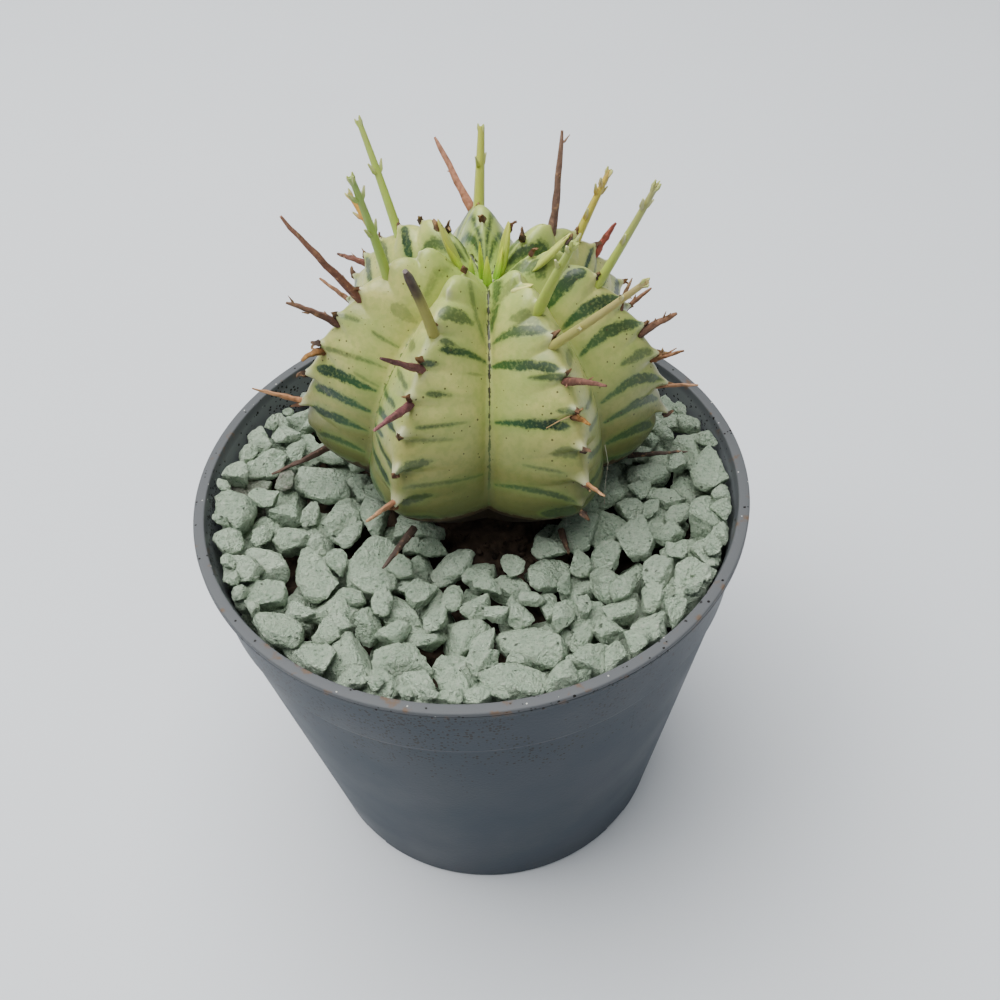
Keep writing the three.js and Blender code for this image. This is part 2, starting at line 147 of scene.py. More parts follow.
# Young crown leaves: length, crown angle and azimuth of the foot, azimuth and elevation that it points to, width,
# foot and tip colour, and whether its tip has withered.
CROWN_LEAVES = [
    (6.2, 3, -150, -144, 79, 1.0, "93bf35", "e6e83e", 0),
    (4.3, 6, -60, -57, 81, 1.3, "4e9030", "cfdc4a", 0),
    (5.8, 3, 10, -23, 79, 1.4, "85b535", "e0e448", 0),
    (8.6, 5, 112, 130, 75, 1.8, "a5c046", "d2d458", 1),
    (5.8, 3.5, 105, 109, 76, 1.5, "7cb534", "e6e644", 0),
    (9.0, 8.5, -85, -89, 64, 2.1, "a9bf4e", "cdcb58", 1),
    (7.4, 7, -80, -79, 58, 1.5, "9cc63c", "e8e642", 0),
    (3.2, 19.7, 23, 60, 30, 1.8, "c8cb7c", "ded66e", 0),
    (7.4, 16, 66, 81, 49, 1.7, "b4c25a", "c9cc64", 1),
]

# Dark bands seen on the flanks. A flank is (rib, side). Each band has the crown angles of its line near the
# crest, half-way and near the furrow, where it starts and ends across the flank, half its width and its depth of
# colour.
BANDS = {
    (0, 1): [
        (30, 28.5, 29, 0, 0.62, 1.0, 0.75), (37, 36.5, 36, 0.16, 0.42, 0.45, 0.8),
        (40.5, 38, 38.5, 0.18, 1, 0.5, 0.95), (44.5, 42, 42, 0, 0.24, 0.35, 0.9),
        (45, 44, 43, 0.62, 0.9, 0.14, 0.5), (52.5, 51, 50, 0.16, 0.48, 0.36, 0.8),
        (62.5, 60, 58, 0.12, 0.7, 0.24, 0.8), (66.5, 65, 65, 0.06, 0.55, 0.32, 0.5),
        (75, 71, 71, 0, 0.34, 0.8, 0.7), (82, 80, 81, 0.05, 0.95, 0.3, 0.55),
        (87.5, 84, 84, 0, 0.36, 0.8, 0.65), (97, 95, 95, 0, 0.4, 1.2, 0.7),
    ],
    (1, -1): [
        (20, 18.5, 22, 0.12, 1, 0.8, 0.4), (32, 28, 28, 0.08, 0.55, 0.9, 0.5),
        (35.5, 32, 32, 0.05, 0.95, 0.68, 0.85), (46, 42, 40, 0.05, 1, 0.72, 0.95),
        (48.5, 46, 46, 0, 0.45, 0.4, 0.85), (58, 56, 56, 0, 0.2, 0.4, 0.8),
        (62.5, 60, 60, 0.06, 0.95, 0.66, 1), (70.5, 70, 70, 0, 0.32, 0.9, 0.5),
        (78, 74.5, 74, 0.18, 0.62, 0.22, 0.6), (88, 83.5, 86, 0.06, 1, 0.42, 0.8),
        (94, 93, 93, 0, 0.4, 1.3, 0.75),
    ],
    (6, 1): [
        (34, 34, 32, 0.5, 0.92, 1, 0.35), (48, 43.5, 43, 0, 0.32, 0.4, 0.6),
        (44, 44.5, 43, 0.5, 0.95, 0.2, 0.7), (60, 55, 52, 0.04, 0.92, 0.34, 0.62),
        (67, 63, 62, 0.06, 0.95, 0.8, 1), (60, 59.5, 60, 0.58, 0.96, 0.2, 0.6),
        (74, 70.5, 71, 0.08, 0.97, 0.7, 1), (82.5, 79, 80, 0.1, 0.92, 0.7, 1),
        (94, 88, 90, 0.2, 0.97, 0.48, 0.85), (99, 98, 98, 0.35, 1, 1.1, 0.8),
    ],
    (0, -1): [
        (42, 40, 38, 0.25, 0.65, 0.7, 0.55), (52.5, 49, 47, 0.08, 0.62, 0.45, 0.7),
        (60, 58, 58, 0.25, 0.97, 0.46, 0.85), (66, 64, 66, 0.12, 0.97, 0.6, 1),
        (71, 70, 73, 0.35, 0.97, 0.42, 0.95), (79, 73, 71, 0.04, 0.65, 0.5, 0.9),
        (84, 80.5, 80, 0.12, 0.95, 0.62, 1), (92, 92, 92, 0.25, 0.97, 0.6, 0.9),
    ],
    (2, -1): [
        (28, 26, 26, 0.03, 0.97, 0.95, 0.95), (41, 36, 35, 0, 0.93, 0.95, 0.95),
        (51, 46, 47, 0, 0.97, 0.88, 0.9), (61.5, 58, 58, 0.04, 0.55, 0.75, 0.65),
        (72, 65.5, 68, 0.03, 0.95, 0.78, 0.85), (80, 74.5, 77, 0.08, 0.97, 0.74, 0.85),
        (91, 85, 87, 0.15, 0.97, 0.85, 0.85), (98, 98, 94, 0.2, 0.97, 1.5, 0.8),
    ],
    (1, 1): [
        (46, 42, 40, 0.1, 0.55, 0.8, 0.5), (60, 59, 56, 0.25, 0.95, 0.5, 0.65),
        (67, 66, 67, 0.2, 0.95, 0.4, 0.65), (74, 76, 79, 0.12, 0.97, 0.5, 0.75),
        (86, 85, 86, 0.1, 0.95, 0.55, 0.8), (96, 96, 96, 0.1, 0.8, 0.9, 0.7),
    ],
}

# Streaks that run down the young parts of the ribs from the crown: flank, start and end crown angle, their
# places across the flank, half width and depth of colour.
STREAKS = [
    ((0, 1), 16, 33, 0.34, 0.93, 0.32, 0.6), ((1, -1), 9, 28, 0.55, 0.95, 0.5, 0.85),
    ((4, 1), 5, 26, 0.16, 0.42, 0.22, 0.9), ((4, 1), 6, 27, 0.45, 0.9, 0.3, 0.9),
    ((4, -1), 5, 26, 0.14, 0.4, 0.22, 0.9), ((4, -1), 6, 27, 0.45, 0.9, 0.3, 0.9),
    ((3, 1), 8, 24, 0.25, 0.6, 0.45, 0.75), ((3, -1), 7, 24, 0.3, 0.75, 0.5, 0.9),
    ((5, -1), 8, 25, 0.25, 0.6, 0.5, 0.8), ((5, 1), 8, 25, 0.3, 0.7, 0.45, 0.8),
    ((2, -1), 8, 20, 0.3, 0.6, 0.6, 0.75), ((2, 1), 8, 24, 0.3, 0.7, 0.4, 0.7),
    ((6, -1), 8, 24, 0.3, 0.7, 0.4, 0.7), ((6, 1), 12, 26, 0.5, 0.8, 0.3, 0.4),
]


# Shared helpers


def linear(code):
    """An sRGB hex code as a linear colour."""
    parts = [int(code[i:i + 2], 16) / 255 for i in (0, 2, 4)]
    return [p / 12.92 if p <= 0.04045 else ((p + 0.055) / 1.055) ** 2.4 for p in parts] + [1.0]


def per_metre(size_mm):
    """The texture scale whose cells are this many millimetres across."""
    return 1 / (size_mm * MM)


def smoothstep(x, low, high):
    t = np.clip((x - low) / (high - low), 0, 1)
    return t * t * (3 - 2 * t)


def add_node(tree, kind, inputs=None, **settings):
    """Adds a node, with its settings, and its inputs as values or as sockets to link from."""
    node = tree.nodes.new(kind)
    for name, value in settings.items():
        setattr(node, name, value)
    for key, value in (inputs or {}).items():
        if isinstance(value, bpy.types.NodeSocket):
            tree.links.new(value, node.inputs[key])
        else:
            node.inputs[key].default_value = value
    return node


def deselect():
    if bpy.context.object and bpy.context.object.mode != "OBJECT":
        bpy.ops.object.mode_set(mode="OBJECT")
    bpy.ops.object.select_all(action="DESELECT")


def make_active(piece):
    deselect()
    piece.select_set(True)
    bpy.context.view_layer.objects.active = piece


def new_object(name, data):
    piece = bpy.data.objects.new(name, data)
    bpy.context.scene.collection.objects.link(piece)
    return piece


def apply_modifier(piece, kind, **settings):
    """Adds a modifier with its settings and applies it."""
    make_active(piece)
    modifier = piece.modifiers.new(kind.title(), kind)
    for name, value in settings.items():
        setattr(modifier, name, value)
    bpy.ops.object.modifier_apply(modifier=modifier.name)


def roughen(piece, name, size, strength, depth=2, mid_level=0.5, intensity=1, **settings):
    """Pushes a surface in and out by clouds of a size."""
    clouds = bpy.data.textures.new(name, "CLOUDS")
    clouds.noise_scale = size
    clouds.noise_depth = depth
    clouds.intensity = intensity
    apply_modifier(piece, "DISPLACE", texture=clouds, strength=strength, mid_level=mid_level, **settings)


def vertex_array(mesh):
    flat = np.empty(len(mesh.vertices) * 3)
    mesh.vertices.foreach_get("co", flat)
    return flat.reshape(-1, 3)


def set_vertices(mesh, points):
    mesh.vertices.foreach_set("co", np.asarray(points, dtype=np.float64).ravel())
    mesh.update()


def put_attribute(mesh, name, values, kind="FLOAT", field="value"):
    """Stores one number, or one linear colour, for each vertex."""
    layer = mesh.attributes.new(name, kind, "POINT")
    layer.data.foreach_set(field, np.asarray(values, dtype=np.float32).ravel())


def join_pieces(pieces, name):
    """Joins meshes into one object with its place in its mesh."""
    deselect()
    for piece in pieces:
        piece.select_set(True)
    bpy.context.view_layer.objects.active = pieces[0]
    if len(pieces) > 1:
        bpy.ops.object.join()
    whole = bpy.context.view_layer.objects.active
    bpy.ops.object.transform_apply(location=True, rotation=True, scale=True)
    whole.name = name
    whole.data.name = name
    return whole


def outward_normals(piece):
    make_active(piece)
    bpy.ops.object.mode_set(mode="EDIT")
    bpy.ops.mesh.select_all(action="SELECT")
    bpy.ops.mesh.normals_make_consistent(inside=False)
    bpy.ops.object.mode_set(mode="OBJECT")


def shade(piece, angle=None):
    make_active(piece)
    if angle is None:
        bpy.ops.object.shade_smooth()
    else:
        bpy.ops.object.shade_smooth_by_angle(angle=math.radians(angle))


def settle(piece, material, slot, *nodes):
    """Gives a finished piece its material and body, and hides the solids that it stands for."""
    piece.data.materials.clear()
    piece.data.materials.append(material)
    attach(piece, "root")
    if nodes:
        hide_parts(*nodes)
    return piece


# Shapes of the pot and plant, in millimetres


def inside_radius(z):
    """Radius of the pot's inside at a height."""
    upper = COLLAR_FOOT + (COLLAR_TOP - COLLAR_FOOT) * (z - COLLAR_Z) / (LIP_Z - COLLAR_Z) - WALL
    lower = BASE_RADIUS + (WALL_TOP - BASE_RADIUS) * z / COLLAR_Z - WALL
    return np.where(np.asarray(z) > COLLAR_Z, upper, lower)


def crest_distance(crown):
    """Distance of the rib crests from the plant's middle at a crown angle in degrees."""
    return 28.5 - 2.7 * crown / 120 - 7.4 * np.exp(-((crown / 11) ** 2))


def furrow_share(crown):
    return 0.23 * smoothstep(crown, 0, 26) * (1 - 0.45 * smoothstep(crown, 80, UNDERSIDE))


def on_globe(distance, crown, azimuth):
    """A point in the plant's frame, from its distance and two angles in degrees."""
    crown = math.radians(crown)
    azimuth = math.radians(azimuth)
    return Vector((
        distance * math.sin(crown) * math.sin(azimuth),
        -distance * math.sin(crown) * math.cos(azimuth),
        distance * math.cos(crown),
    ))


def rib_direction(azimuth, elevation, side):
    """Outward along a rib, turned up by the elevation and sideways by the lean."""
    out = on_globe(1, 90 - elevation, azimuth)
    return (out + on_globe(1, 90, azimuth + 90) * math.tan(math.radians(side))).normalized()


def in_pot(point):
    """From the plant's frame in millimetres to the pot's in metres."""
    return (LEAN @ Vector(point) + PLANT_CENTRE) * MM


def all_in_pot(points):
    return (points @ np.array(LEAN).T + np.array(PLANT_CENTRE)) * MM


def mound(x, y):
    """How much of the soil's mound round the plant's neck there is at a place."""
    return 1 - smoothstep(np.hypot(x - PLANT_CENTRE.x, y - PLANT_CENTRE.y + 1.5), MOUND_BROW, MOUND_FOOT)


def flank_gap(rib, side):
    """Degrees from a rib's crest to the furrow on one side."""
    azimuth = RIBS[rib][0]
    other = RIBS[(rib + side) % len(RIBS)][0]
    return ((other - azimuth) * side % 360) / 2


class Skin:
    """The ribbed skin as a grid of rows down from the crown and columns round it."""

    SIDE_COLUMNS = 18
    ROW_STEP = 0.45

    def __init__(self):
        self.crowns = np.arange(self.ROW_STEP, UNDERSIDE + 0.01, self.ROW_STEP)
        rib, side, share = (np.array(values) for values in zip(*self.list_columns()))
        self.rib, self.side, self.share = rib, side, share
        firsts = np.array([r[1] for r in RIBS], dtype=float)
        azimuths = np.array([r[0] for r in RIBS], dtype=float)
        neighbour = (rib + side) % len(RIBS)
        self.gap = np.array([flank_gap(r, s) for r, s in zip(rib, side)])
        self.azimuth = azimuths[rib] + side * share * self.gap
        self.first = firsts[rib] * (1 - share / 2) + firsts[neighbour] * share / 2

    def list_columns(self):
        """Columns crowd towards the crests, where the teeth and knobs are."""
        steps = self.SIDE_COLUMNS
        columns = []
        for rib in range(len(RIBS)):
            columns += [(rib, -1, (k / steps) ** 1.6) for k in range(steps, 0, -1)]
            columns += [(rib, 1, (k / steps) ** 1.6) for k in range(steps)]
        return columns

    def knob(self, crown, share, first):
        """How much of a fleshy leaf base there is: one stands above each node, closer to it on the young parts."""
        turns = (crown - first) / NODE_STEP + self.knob_lead(crown)
        off = turns - np.round(turns)
        near = np.exp(-((off / 0.12) ** 2)) * np.exp(-((share / 0.07) ** 2))
        return near * smoothstep(crown, 9, 14) * (1 - smoothstep(crown, 85, 91))

    def knob_lead(self, crown):
        """How far above its node a leaf base stands, as a share of the step between nodes."""
        return 0.2 - 0.13 * (1 - smoothstep(crown, 18, 42))

    def distance(self, crown, share, first):
        """The skin's distance from the plant's middle."""
        turns = (crown - first) / NODE_STEP
        phase = turns - np.floor(turns)
        young = 1 - smoothstep(crown, 14, 48)
        rise = np.where(phase < 0.8, (phase / 0.8) ** 1.2, (1 - phase) / 0.2)
        plump = np.abs(np.sin(math.pi * phase**1.3)) ** 0.8
        rise = rise + (1.5 * plump - rise) * young
        grown = smoothstep(crown, 6, 18)
        blunt = 0.09 + 0.34 * young
        rounded = (np.sqrt(share**2 + blunt**2) - blunt) / (np.sqrt(1 + blunt**2) - blunt)
        flank = 0.62 * rounded + 0.38 * rounded**2.4
        base = crest_distance(crown) * (1 - furrow_share(crown) * flank)
        tooth = (0.75 + 0.2 * young) * rise * np.exp(-((share / (0.2 + 0.3 * young)) ** 2))
        tooth = tooth * (1 - smoothstep(crown, 86, 95))
        pillow = 0.3 * np.sin(math.pi * phase) * np.exp(-((share / 0.6) ** 2)) * (1 - share**2)
        tuck = 3.6 * smoothstep(crown, 93, UNDERSIDE + 2)
        return base + (tooth + pillow) * grown + 0.25 * grown - tuck

    def grid(self):
        """Positions in the plant's frame, row by row."""
        crown = self.crowns[:, None]
        knob = self.knob(crown, self.share[None, :], self.first[None, :])
        distance = self.distance(crown, self.share[None, :], self.first[None, :]) + knob * self.knob_length(crown)
        angle = np.radians(crown + knob * self.droop(crown))
        azimuth = np.radians(self.azimuth)[None, :]
        x = distance * np.sin(angle) * np.sin(azimuth)
        y = -distance * np.sin(angle) * np.cos(azimuth)
        z = distance * np.cos(angle)
        return np.stack([x, y, z], axis=2)

    def knob_length(self, crown):
        return 0.75 + 0.55 * smoothstep(crown, 40, 85)

    def droop(self, crown):
        """How many degrees lower the tip of a low leaf base hangs."""
        return smoothstep(crown, 50, 95) * 3.2

    def inside(self, points, margin):
        """Whether points in the pot's frame lie inside the skin or within a margin of it."""
        back = np.array(LEAN.transposed())
        local = (points - np.array(PLANT_CENTRE)) @ back.T
        distance = np.linalg.norm(local, axis=1)
        crown = np.degrees(np.arccos(np.clip(local[:, 2] / np.maximum(distance, 1e-6), -1, 1)))
        azimuth = np.degrees(np.arctan2(local[:, 0], -local[:, 1]))
        turn = np.abs((azimuth[:, None] - self.azimuth[None, :] + 180) % 360 - 180)
        column = turn.argmin(axis=1)
        edge = self.distance(crown, self.share[column], self.first[column])
        flat = np.hypot(local[:, 0], local[:, 1])
        neck = (flat < 11.5) & (local[:, 2] < 0)
        return ((distance < edge + margin) & (crown < UNDERSIDE + 2)) | neck


SKIN = Skin()


# Materials


class Paint:
    """A material in the making: each call adds a node and gives the socket that the next one takes."""

    def __init__(self, name):
        self.material = bpy.data.materials.new(name)
        self.material.use_nodes = True
        self.tree = self.material.node_tree
        self.place = self.node("ShaderNodeTexCoord").outputs["Object"]

    def node(self, kind, inputs=None, **settings):
        return add_node(self.tree, kind, inputs, **settings)

    def attribute(self, name, output="Fac"):
        return self.node("ShaderNodeAttribute", attribute_name=name).outputs[output]

    def noise(self, size_mm, detail, roughness=0.5, output=0):
        """Clouds whose lumps are this many millimetres across."""
        values = {"Vector": self.place, "Scale": per_metre(size_mm), "Detail": detail, "Roughness": roughness}
        return self.node("ShaderNodeTexNoise", values).outputs[output]

    def cells(self, size_mm, place=None):
        """Cells this many millimetres across: the distance to a cell's middle, and two random values for the cell."""
        place = self.place if place is None else place
        cells = self.node("ShaderNodeTexVoronoi", {"Vector": place, "Scale": per_metre(size_mm)}).outputs
        chance = self.node("ShaderNodeSeparateColor", {0: cells["Color"]}).outputs
        return cells["Distance"], chance[0], chance[1]

    def span(self, value, low, high, start=0, end=1):
        """Start where a value is low or less, end where it is high or more, and even steps between."""
        return self.node("ShaderNodeMapRange", {0: value, 1: low, 2: high, 3: start, 4: end}).outputs[0]

    def math(self, operation, *values):
        return self.node("ShaderNodeMath", dict(enumerate(values)), operation=operation).outputs[0]

    def vector(self, operation, *values):
        return self.node("ShaderNodeVectorMath", dict(enumerate(values)), operation=operation).outputs

    def mix(self, share, colour, other):
        """The first colour at share 0 and the other at share 1. A colour is a socket, a hex code or a list."""
        pair = [linear(c) if isinstance(c, str) else c for c in (colour, other)]
        return self.node("ShaderNodeMix", {0: share, 6: pair[0], 7: pair[1]}, data_type="RGBA").outputs[2]

    def finish(self, colour, roughness, relief=None, strength=0, depth_mm=0, **values):
        """Fills the shader's sockets, with a bump of some strength and depth, and gives the material."""
        sockets = {"Base Color": colour, "Roughness": roughness}
        if relief is not None:
            bump = {"Strength": strength, "Distance": depth_mm * MM, "Height": relief}
            sockets["Normal"] = self.node("ShaderNodeBump", bump).outputs[0]
        sockets.update({name.replace("_", " "): value for name, value in values.items()})
        shader = self.tree.nodes["Principled BSDF"]
        for name, value in sockets.items():
            if isinstance(value, bpy.types.NodeSocket):
                self.tree.links.new(value, shader.inputs[name])
            else:
                shader.inputs[name].default_value = value
        return self.material


def pot_plastic():
    # Injection-moulded polypropylene: a satin grey, with painted shade and reflection on the wall, painted light
    # on the inside, a paler lip, specks of dried potting dirt below the rim, rusty water stains and pale dust on top.
    paint = Paint("Moulded grey polypropylene")
    height = paint.node("ShaderNodeSeparateXYZ", {0: paint.place}).outputs[2]
    # Painted shade and reflection: the wall's dark blue grey is the plastic's own grey made darker and bluer,
    # standing in for shade on the upright wall and blue light bounced onto it.
    cloud = paint.noise(18, 4)
    colour = paint.mix(paint.span(cloud, 0.35, 0.65), "27303a", "2e3842")
    # Painted light: the inside is paler, standing in for light falling on the inner wall. The lip is paler than the
    # wall.
    colour = paint.mix(paint.attribute("inner_face"), colour, "686c6f")
    lip = paint.span(height, (LIP_Z - 0.2) * MM, (POT_HEIGHT - 0.1) * MM)
    colour = paint.mix(lip, colour, "5a5c5e")
    # Dirt specks, 0.2 to 0.5 mm, in swarms below the rim and rare lower down.
    swarm = paint.span(paint.noise(11, 4), 0.42, 0.6, 0.06, 0.95)
    high = paint.math("MULTIPLY", paint.span(lip, 0, 1, 1, 0.12), paint.span(height, 42 * MM, 66 * MM))
    middle, chance, size = paint.cells(0.52)
    picked = paint.math("LESS_THAN", chance, paint.math("MULTIPLY", swarm, high))
    limit = paint.math("MULTIPLY", paint.span(size, 0, 1, 0.2, 0.48), picked)
    dirt = paint.math("LESS_THAN", middle, limit)
    colour = paint.mix(dirt, colour, "120e0c")
    # Dust grains on the lip, and a rusty water stain.
    middle, _, size = paint.cells(0.7)
    dust = paint.math("MULTIPLY", paint.math("GREATER_THAN", size, 0.92), paint.math("LESS_THAN", middle, 0.17))
    colour = paint.mix(paint.math("MULTIPLY", dust, lip), colour, "c4c3bc")
    stain = paint.span(paint.noise(2.4, 5), 0.58, 0.66, 0, 0.75)
    colour = paint.mix(paint.math("MULTIPLY", stain, lip), colour, "67503c")
    roughness = paint.span(cloud, 0.3, 0.7, 0.36, 0.5)
    relief = paint.math("ADD", dirt, paint.noise(0.5, 2))
    return paint.finish(colour, roughness, relief, 0.12, 0.2, IOR=1.49, Specular_IOR_Level=0.16)


def peat_soil():
    # Damp peat compost: near black, crumbly and matt, with rusty fibres.
    paint = Paint("Damp peat compost")
    coarse = paint.noise(2.2, 6)
    colour = paint.mix(paint.span(coarse, 0.35, 0.68), "2a231d", "57483b")
    fibre = paint.cells(1.6)[0]
    colour = paint.mix(paint.span(fibre, 0.16, 0.06, 0, 0.6), colour, "654c3a")
    return paint.finish(colour, 0.95, coarse, 0.8, 0.6, Specular_IOR_Level=0.2)


def zeolite():
    # Crushed zeolite tuff: dry, chalky pale green-grey with open pits, each chip a little different.
    paint = Paint("Crushed zeolite tuff")
    ramp = paint.node("ShaderNodeValToRGB", {0: paint.attribute("chip_tone")})
    elements = ramp.color_ramp.elements
    elements[0].color = linear("99978a")
    elements[-1].color = linear("cfe0c6")
    elements.new(0.18).color = linear("bbceb3")
    elements.new(0.55).color = linear("c5d8bc")
    colour = paint.mix(paint.span(paint.noise(2.4, 5), 0.35, 0.68, 0, 0.55), ramp.outputs[0], "a9c0a5")
    # Pale crystal specks of 0.3 mm on the raised grains and dark grains in the low ones, partly the stone's own grain
    # and partly painted highlight and painted shade; open pits of uneven size and bent outline.
    grit_and_highlight = paint.noise(0.55, 4, 0.7)
    colour = paint.mix(paint.span(grit_and_highlight, 0.52, 0.66, 0, 0.7), colour, "d8e0cc")
    colour = paint.mix(paint.span(grit_and_highlight, 0.45, 0.33, 0, 0.75), colour, "6f8a6c")
    warp = paint.vector("MULTIPLY", paint.noise(0.8, 3, output=1), (1.1 * MM, 1.1 * MM, 1.1 * MM))[0]
    middle, chance, _ = paint.cells(1.5, paint.vector("ADD", paint.place, warp)[0])
    pits = paint.span(paint.math("SUBTRACT", paint.span(chance, 0.55, 1, 0, 0.24), middle), 0, 0.1, 0, 0.8)
    # Painted shade: the pits are coloured dark, as shade inside them.
    colour = paint.mix(pits, colour, "55604f")
    rugged = paint.math("MULTIPLY_ADD", paint.noise(1.3, 5, 0.68), 1.6, grit_and_highlight)
    relief = paint.math("SUBTRACT", rugged, pits)
    return paint.finish(colour, 0.92, relief, 1.0, 1.4, Specular_IOR_Level=0.25)


def spurge_skin():
    # Waxy succulent skin of a variegated plant: cream and pale green, olive low down, with mottled dark green
    # bands, pin-point brown dots and corky brown where it meets the soil.
    paint = Paint("Waxy variegated spurge skin")
    gap = paint.attribute("band_gap")
    half = paint.attribute("band_half")
    ink = paint.attribute("band_ink")
    crown = paint.attribute("crown_angle")
    share = paint.attribute("flank_share")

    # Ground colour: cream above, darker olive below, with clouds, fine mottling and young green at the crown.
    colour = paint.mix(paint.span(paint.noise(9, 3), 0.36, 0.64), "9fa85c", "bbb86c")
    colour = paint.mix(paint.span(paint.noise(0.9, 4), 0.44, 0.62, 0, 0.36), colour, "87994f")
    # Darker olive towards the underside: partly the older skin's own colour, partly painted shade on the lower body.
    colour = paint.mix(paint.span(crown, 55, 93, 0, 0.93), colour, "474c20")
    colour = paint.mix(paint.span(crown, 32, 8, 0, 0.7), colour, "b2cb66")
    colour = paint.mix(paint.attribute("knob"), colour, "cdcda8")

    # Bands: lines with a ragged, granular edge, on thin streaks less so.
    wobble = paint.noise(1.6, 3)
    grain = paint.noise(0.42, 2)
    thin = paint.span(half, 0.15, 0.8, 0.25, 1)
    ragged = paint.math("MULTIPLY", paint.math("MULTIPLY_ADD", wobble, 1.2, -0.6), thin)
    grainy = paint.math("MULTIPLY", paint.math("MULTIPLY_ADD", grain, 0.9, -0.4), thin)
    edge = paint.math("SUBTRACT", half, gap)
    edge_ragged = paint.math("ADD", edge, ragged)
    body = paint.span(paint.math("ADD", edge_ragged, grainy), -0.22, 0.2)
    # The noise can't start a spot where there is no band near.
    body = paint.math("MULTIPLY", body, paint.span(edge, -0.55, -0.15))
    patchy = paint.span(grain, 0.32, 0.5, 0.72, 1)
    mask = paint.math("MULTIPLY", paint.math("MULTIPLY", body, ink), patchy)
    green = paint.mix(paint.span(share, 0.35, 1), "18321b", "2d5826")
    # A greyish bloom lies over the bands near the rib edges, and a thin green stain surrounds each.
    green = paint.mix(paint.span(share, 0.24, 0.04, 0, 0.32), green, "5f7354")
    stain = paint.math("MULTIPLY", paint.span(edge_ragged, -1.1, 0.1, 0, 0.5), ink)
    colour = paint.mix(mask, paint.mix(stain, colour, "6f8c45"), green)

    # Pin-point dots of up to 0.3 mm, one in each millimetre.
    middle, size, _ = paint.cells(1)
    dot = paint.math("LESS_THAN", middle, paint.span(size, 0.1, 1, 0, 0.17))
    colour = paint.mix(paint.math("MULTIPLY", dot, 0.85), colour, "3f3a1d")

    # The seam along each furrow: dotted nearly black where dirt sits in it, thin and green elsewhere.
    width = paint.span(paint.noise(0.7, 2), 0.4, 0.65, 0.04, 0.3)
    seam = paint.span(paint.math("SUBTRACT", width, paint.attribute("furrow_gap")), -0.05, 0.04, 0, 0.9)
    colour = paint.mix(seam, colour, paint.mix(paint.attribute("furrow_ink"), "6f8a3f", "1d1710"))

    # Corky underside, with an uneven edge.
    below = paint.math("ADD", crown, paint.math("MULTIPLY_ADD", wobble, 7, -3.5))
    cork = paint.span(below, 95.3, 96.8)
    colour = paint.mix(cork, colour, paint.mix(paint.span(below, 96, 103), "4f3d28", "33251a"))

    roughness = paint.math("MAXIMUM", paint.span(wobble, 0.3, 0.7, 0.3, 0.43), cork)
    relief = paint.math("SUBTRACT", grain, mask)
    return paint.finish(
        colour, roughness, relief, 0.22, 0.2, IOR=1.42, Coat_Weight=0.2, Coat_Roughness=0.32,
        Subsurface_Weight=0.18, Subsurface_Radius=(0.9, 1.0, 0.35), Subsurface_Scale=1.6 * MM)


def stalk_flesh():
    # Fresh flower stalk: smooth green flesh, waxy, with browner patches.
    paint = Paint("Fresh green stalk")
    cloud = paint.noise(1.4, 3)
    colour = paint.mix(paint.span(cloud, 0.4, 0.65, 0, 0.15), paint.attribute("hue", "Color"), "a58c62")
    return paint.finish(
        colour, 0.42, cloud, 0.15, 0.2, Subsurface_Weight=0.15, Subsurface_Radius=(0.8, 1.0, 0.3),
        Subsurface_Scale=0.8 * MM)


def stalk_husk():
    # Withered stalks and leaf scraps: dry, woody and shrunk, brown to rust with paler torn edges.
    paint = Paint("Dry withered stalk")
    streak = paint.noise(0.7, 4)
    colour = paint.mix(paint.span(streak, 0.3, 0.55, 0.42, 0), paint.attribute("hue", "Color"), "2a1a12")
    colour = paint.mix(paint.span(streak, 0.6, 0.72, 0, 0.6), colour, "b58a62")
    return paint.finish(colour, 0.75, streak, 0.7, 0.3)


def floor_paint(colour):
    # Matt painted board under the pot. It glows faintly far off, where the lamps don't reach.
    paint = Paint("Matt pale board")
    paler = [min(1, c * 1.04) for c in colour[:3]] + [1.0]
    tone = paint.mix(paint.noise(60, 2), list(colour), paler)
    glow = paint.span(paint.vector("LENGTH", paint.place)["Value"], 0.5, 2.6, 0, 0.42)
    return paint.finish(tone, 0.8, Emission_Color=tone, Emission_Strength=glow)


# Settings


def length_property(name, description, size_mm):
    return bpy.props.FloatProperty(
        name=name, description=description, default=size_mm * MM, unit="LENGTH", subtype="DISTANCE")


class SpurgePotSettings(bpy.types.PropertyGroup):
    segments: bpy.props.IntProperty(
        name="Segments", description="Faces round the pot", default=256, min=32, max=512)
    wall: length_property("Wall", "Thickness of the pot's wall", WALL)
    drain_hole: length_property("Drain hole", "Radius of each hole in the pot's floor", 2.5)


class SpurgeChipSettings(bpy.types.PropertyGroup):
    length: length_property("Chip length", "Typical length of a stone chip", 8.6)
    depth: length_property("Depth", "How far below the rim the chips lie", 4)
    seed: bpy.props.IntProperty(name="Seed", description="Changes how the chips fall", default=5)


class SpurgePlantSettings(bpy.types.PropertyGroup):
    unevenness: length_property("Unevenness", "How far the skin wanders from an even shape", 0.5)
    stalk_radius: length_property("Stalk radius", "Radius of a stout flower stalk at its foot", 0.72)


class SpurgeStageSettings(bpy.types.PropertyGroup):
    floor_colour: bpy.props.FloatVectorProperty(
        name="Floor colour", description="Colour of the floor", default=linear("d9dcdf"),
        size=4, min=0, max=1, subtype="COLOR")
    key_power: bpy.props.FloatProperty(
        name="Key light", description="Strength of the main light", default=19.5, min=0, unit="POWER")


# Pot


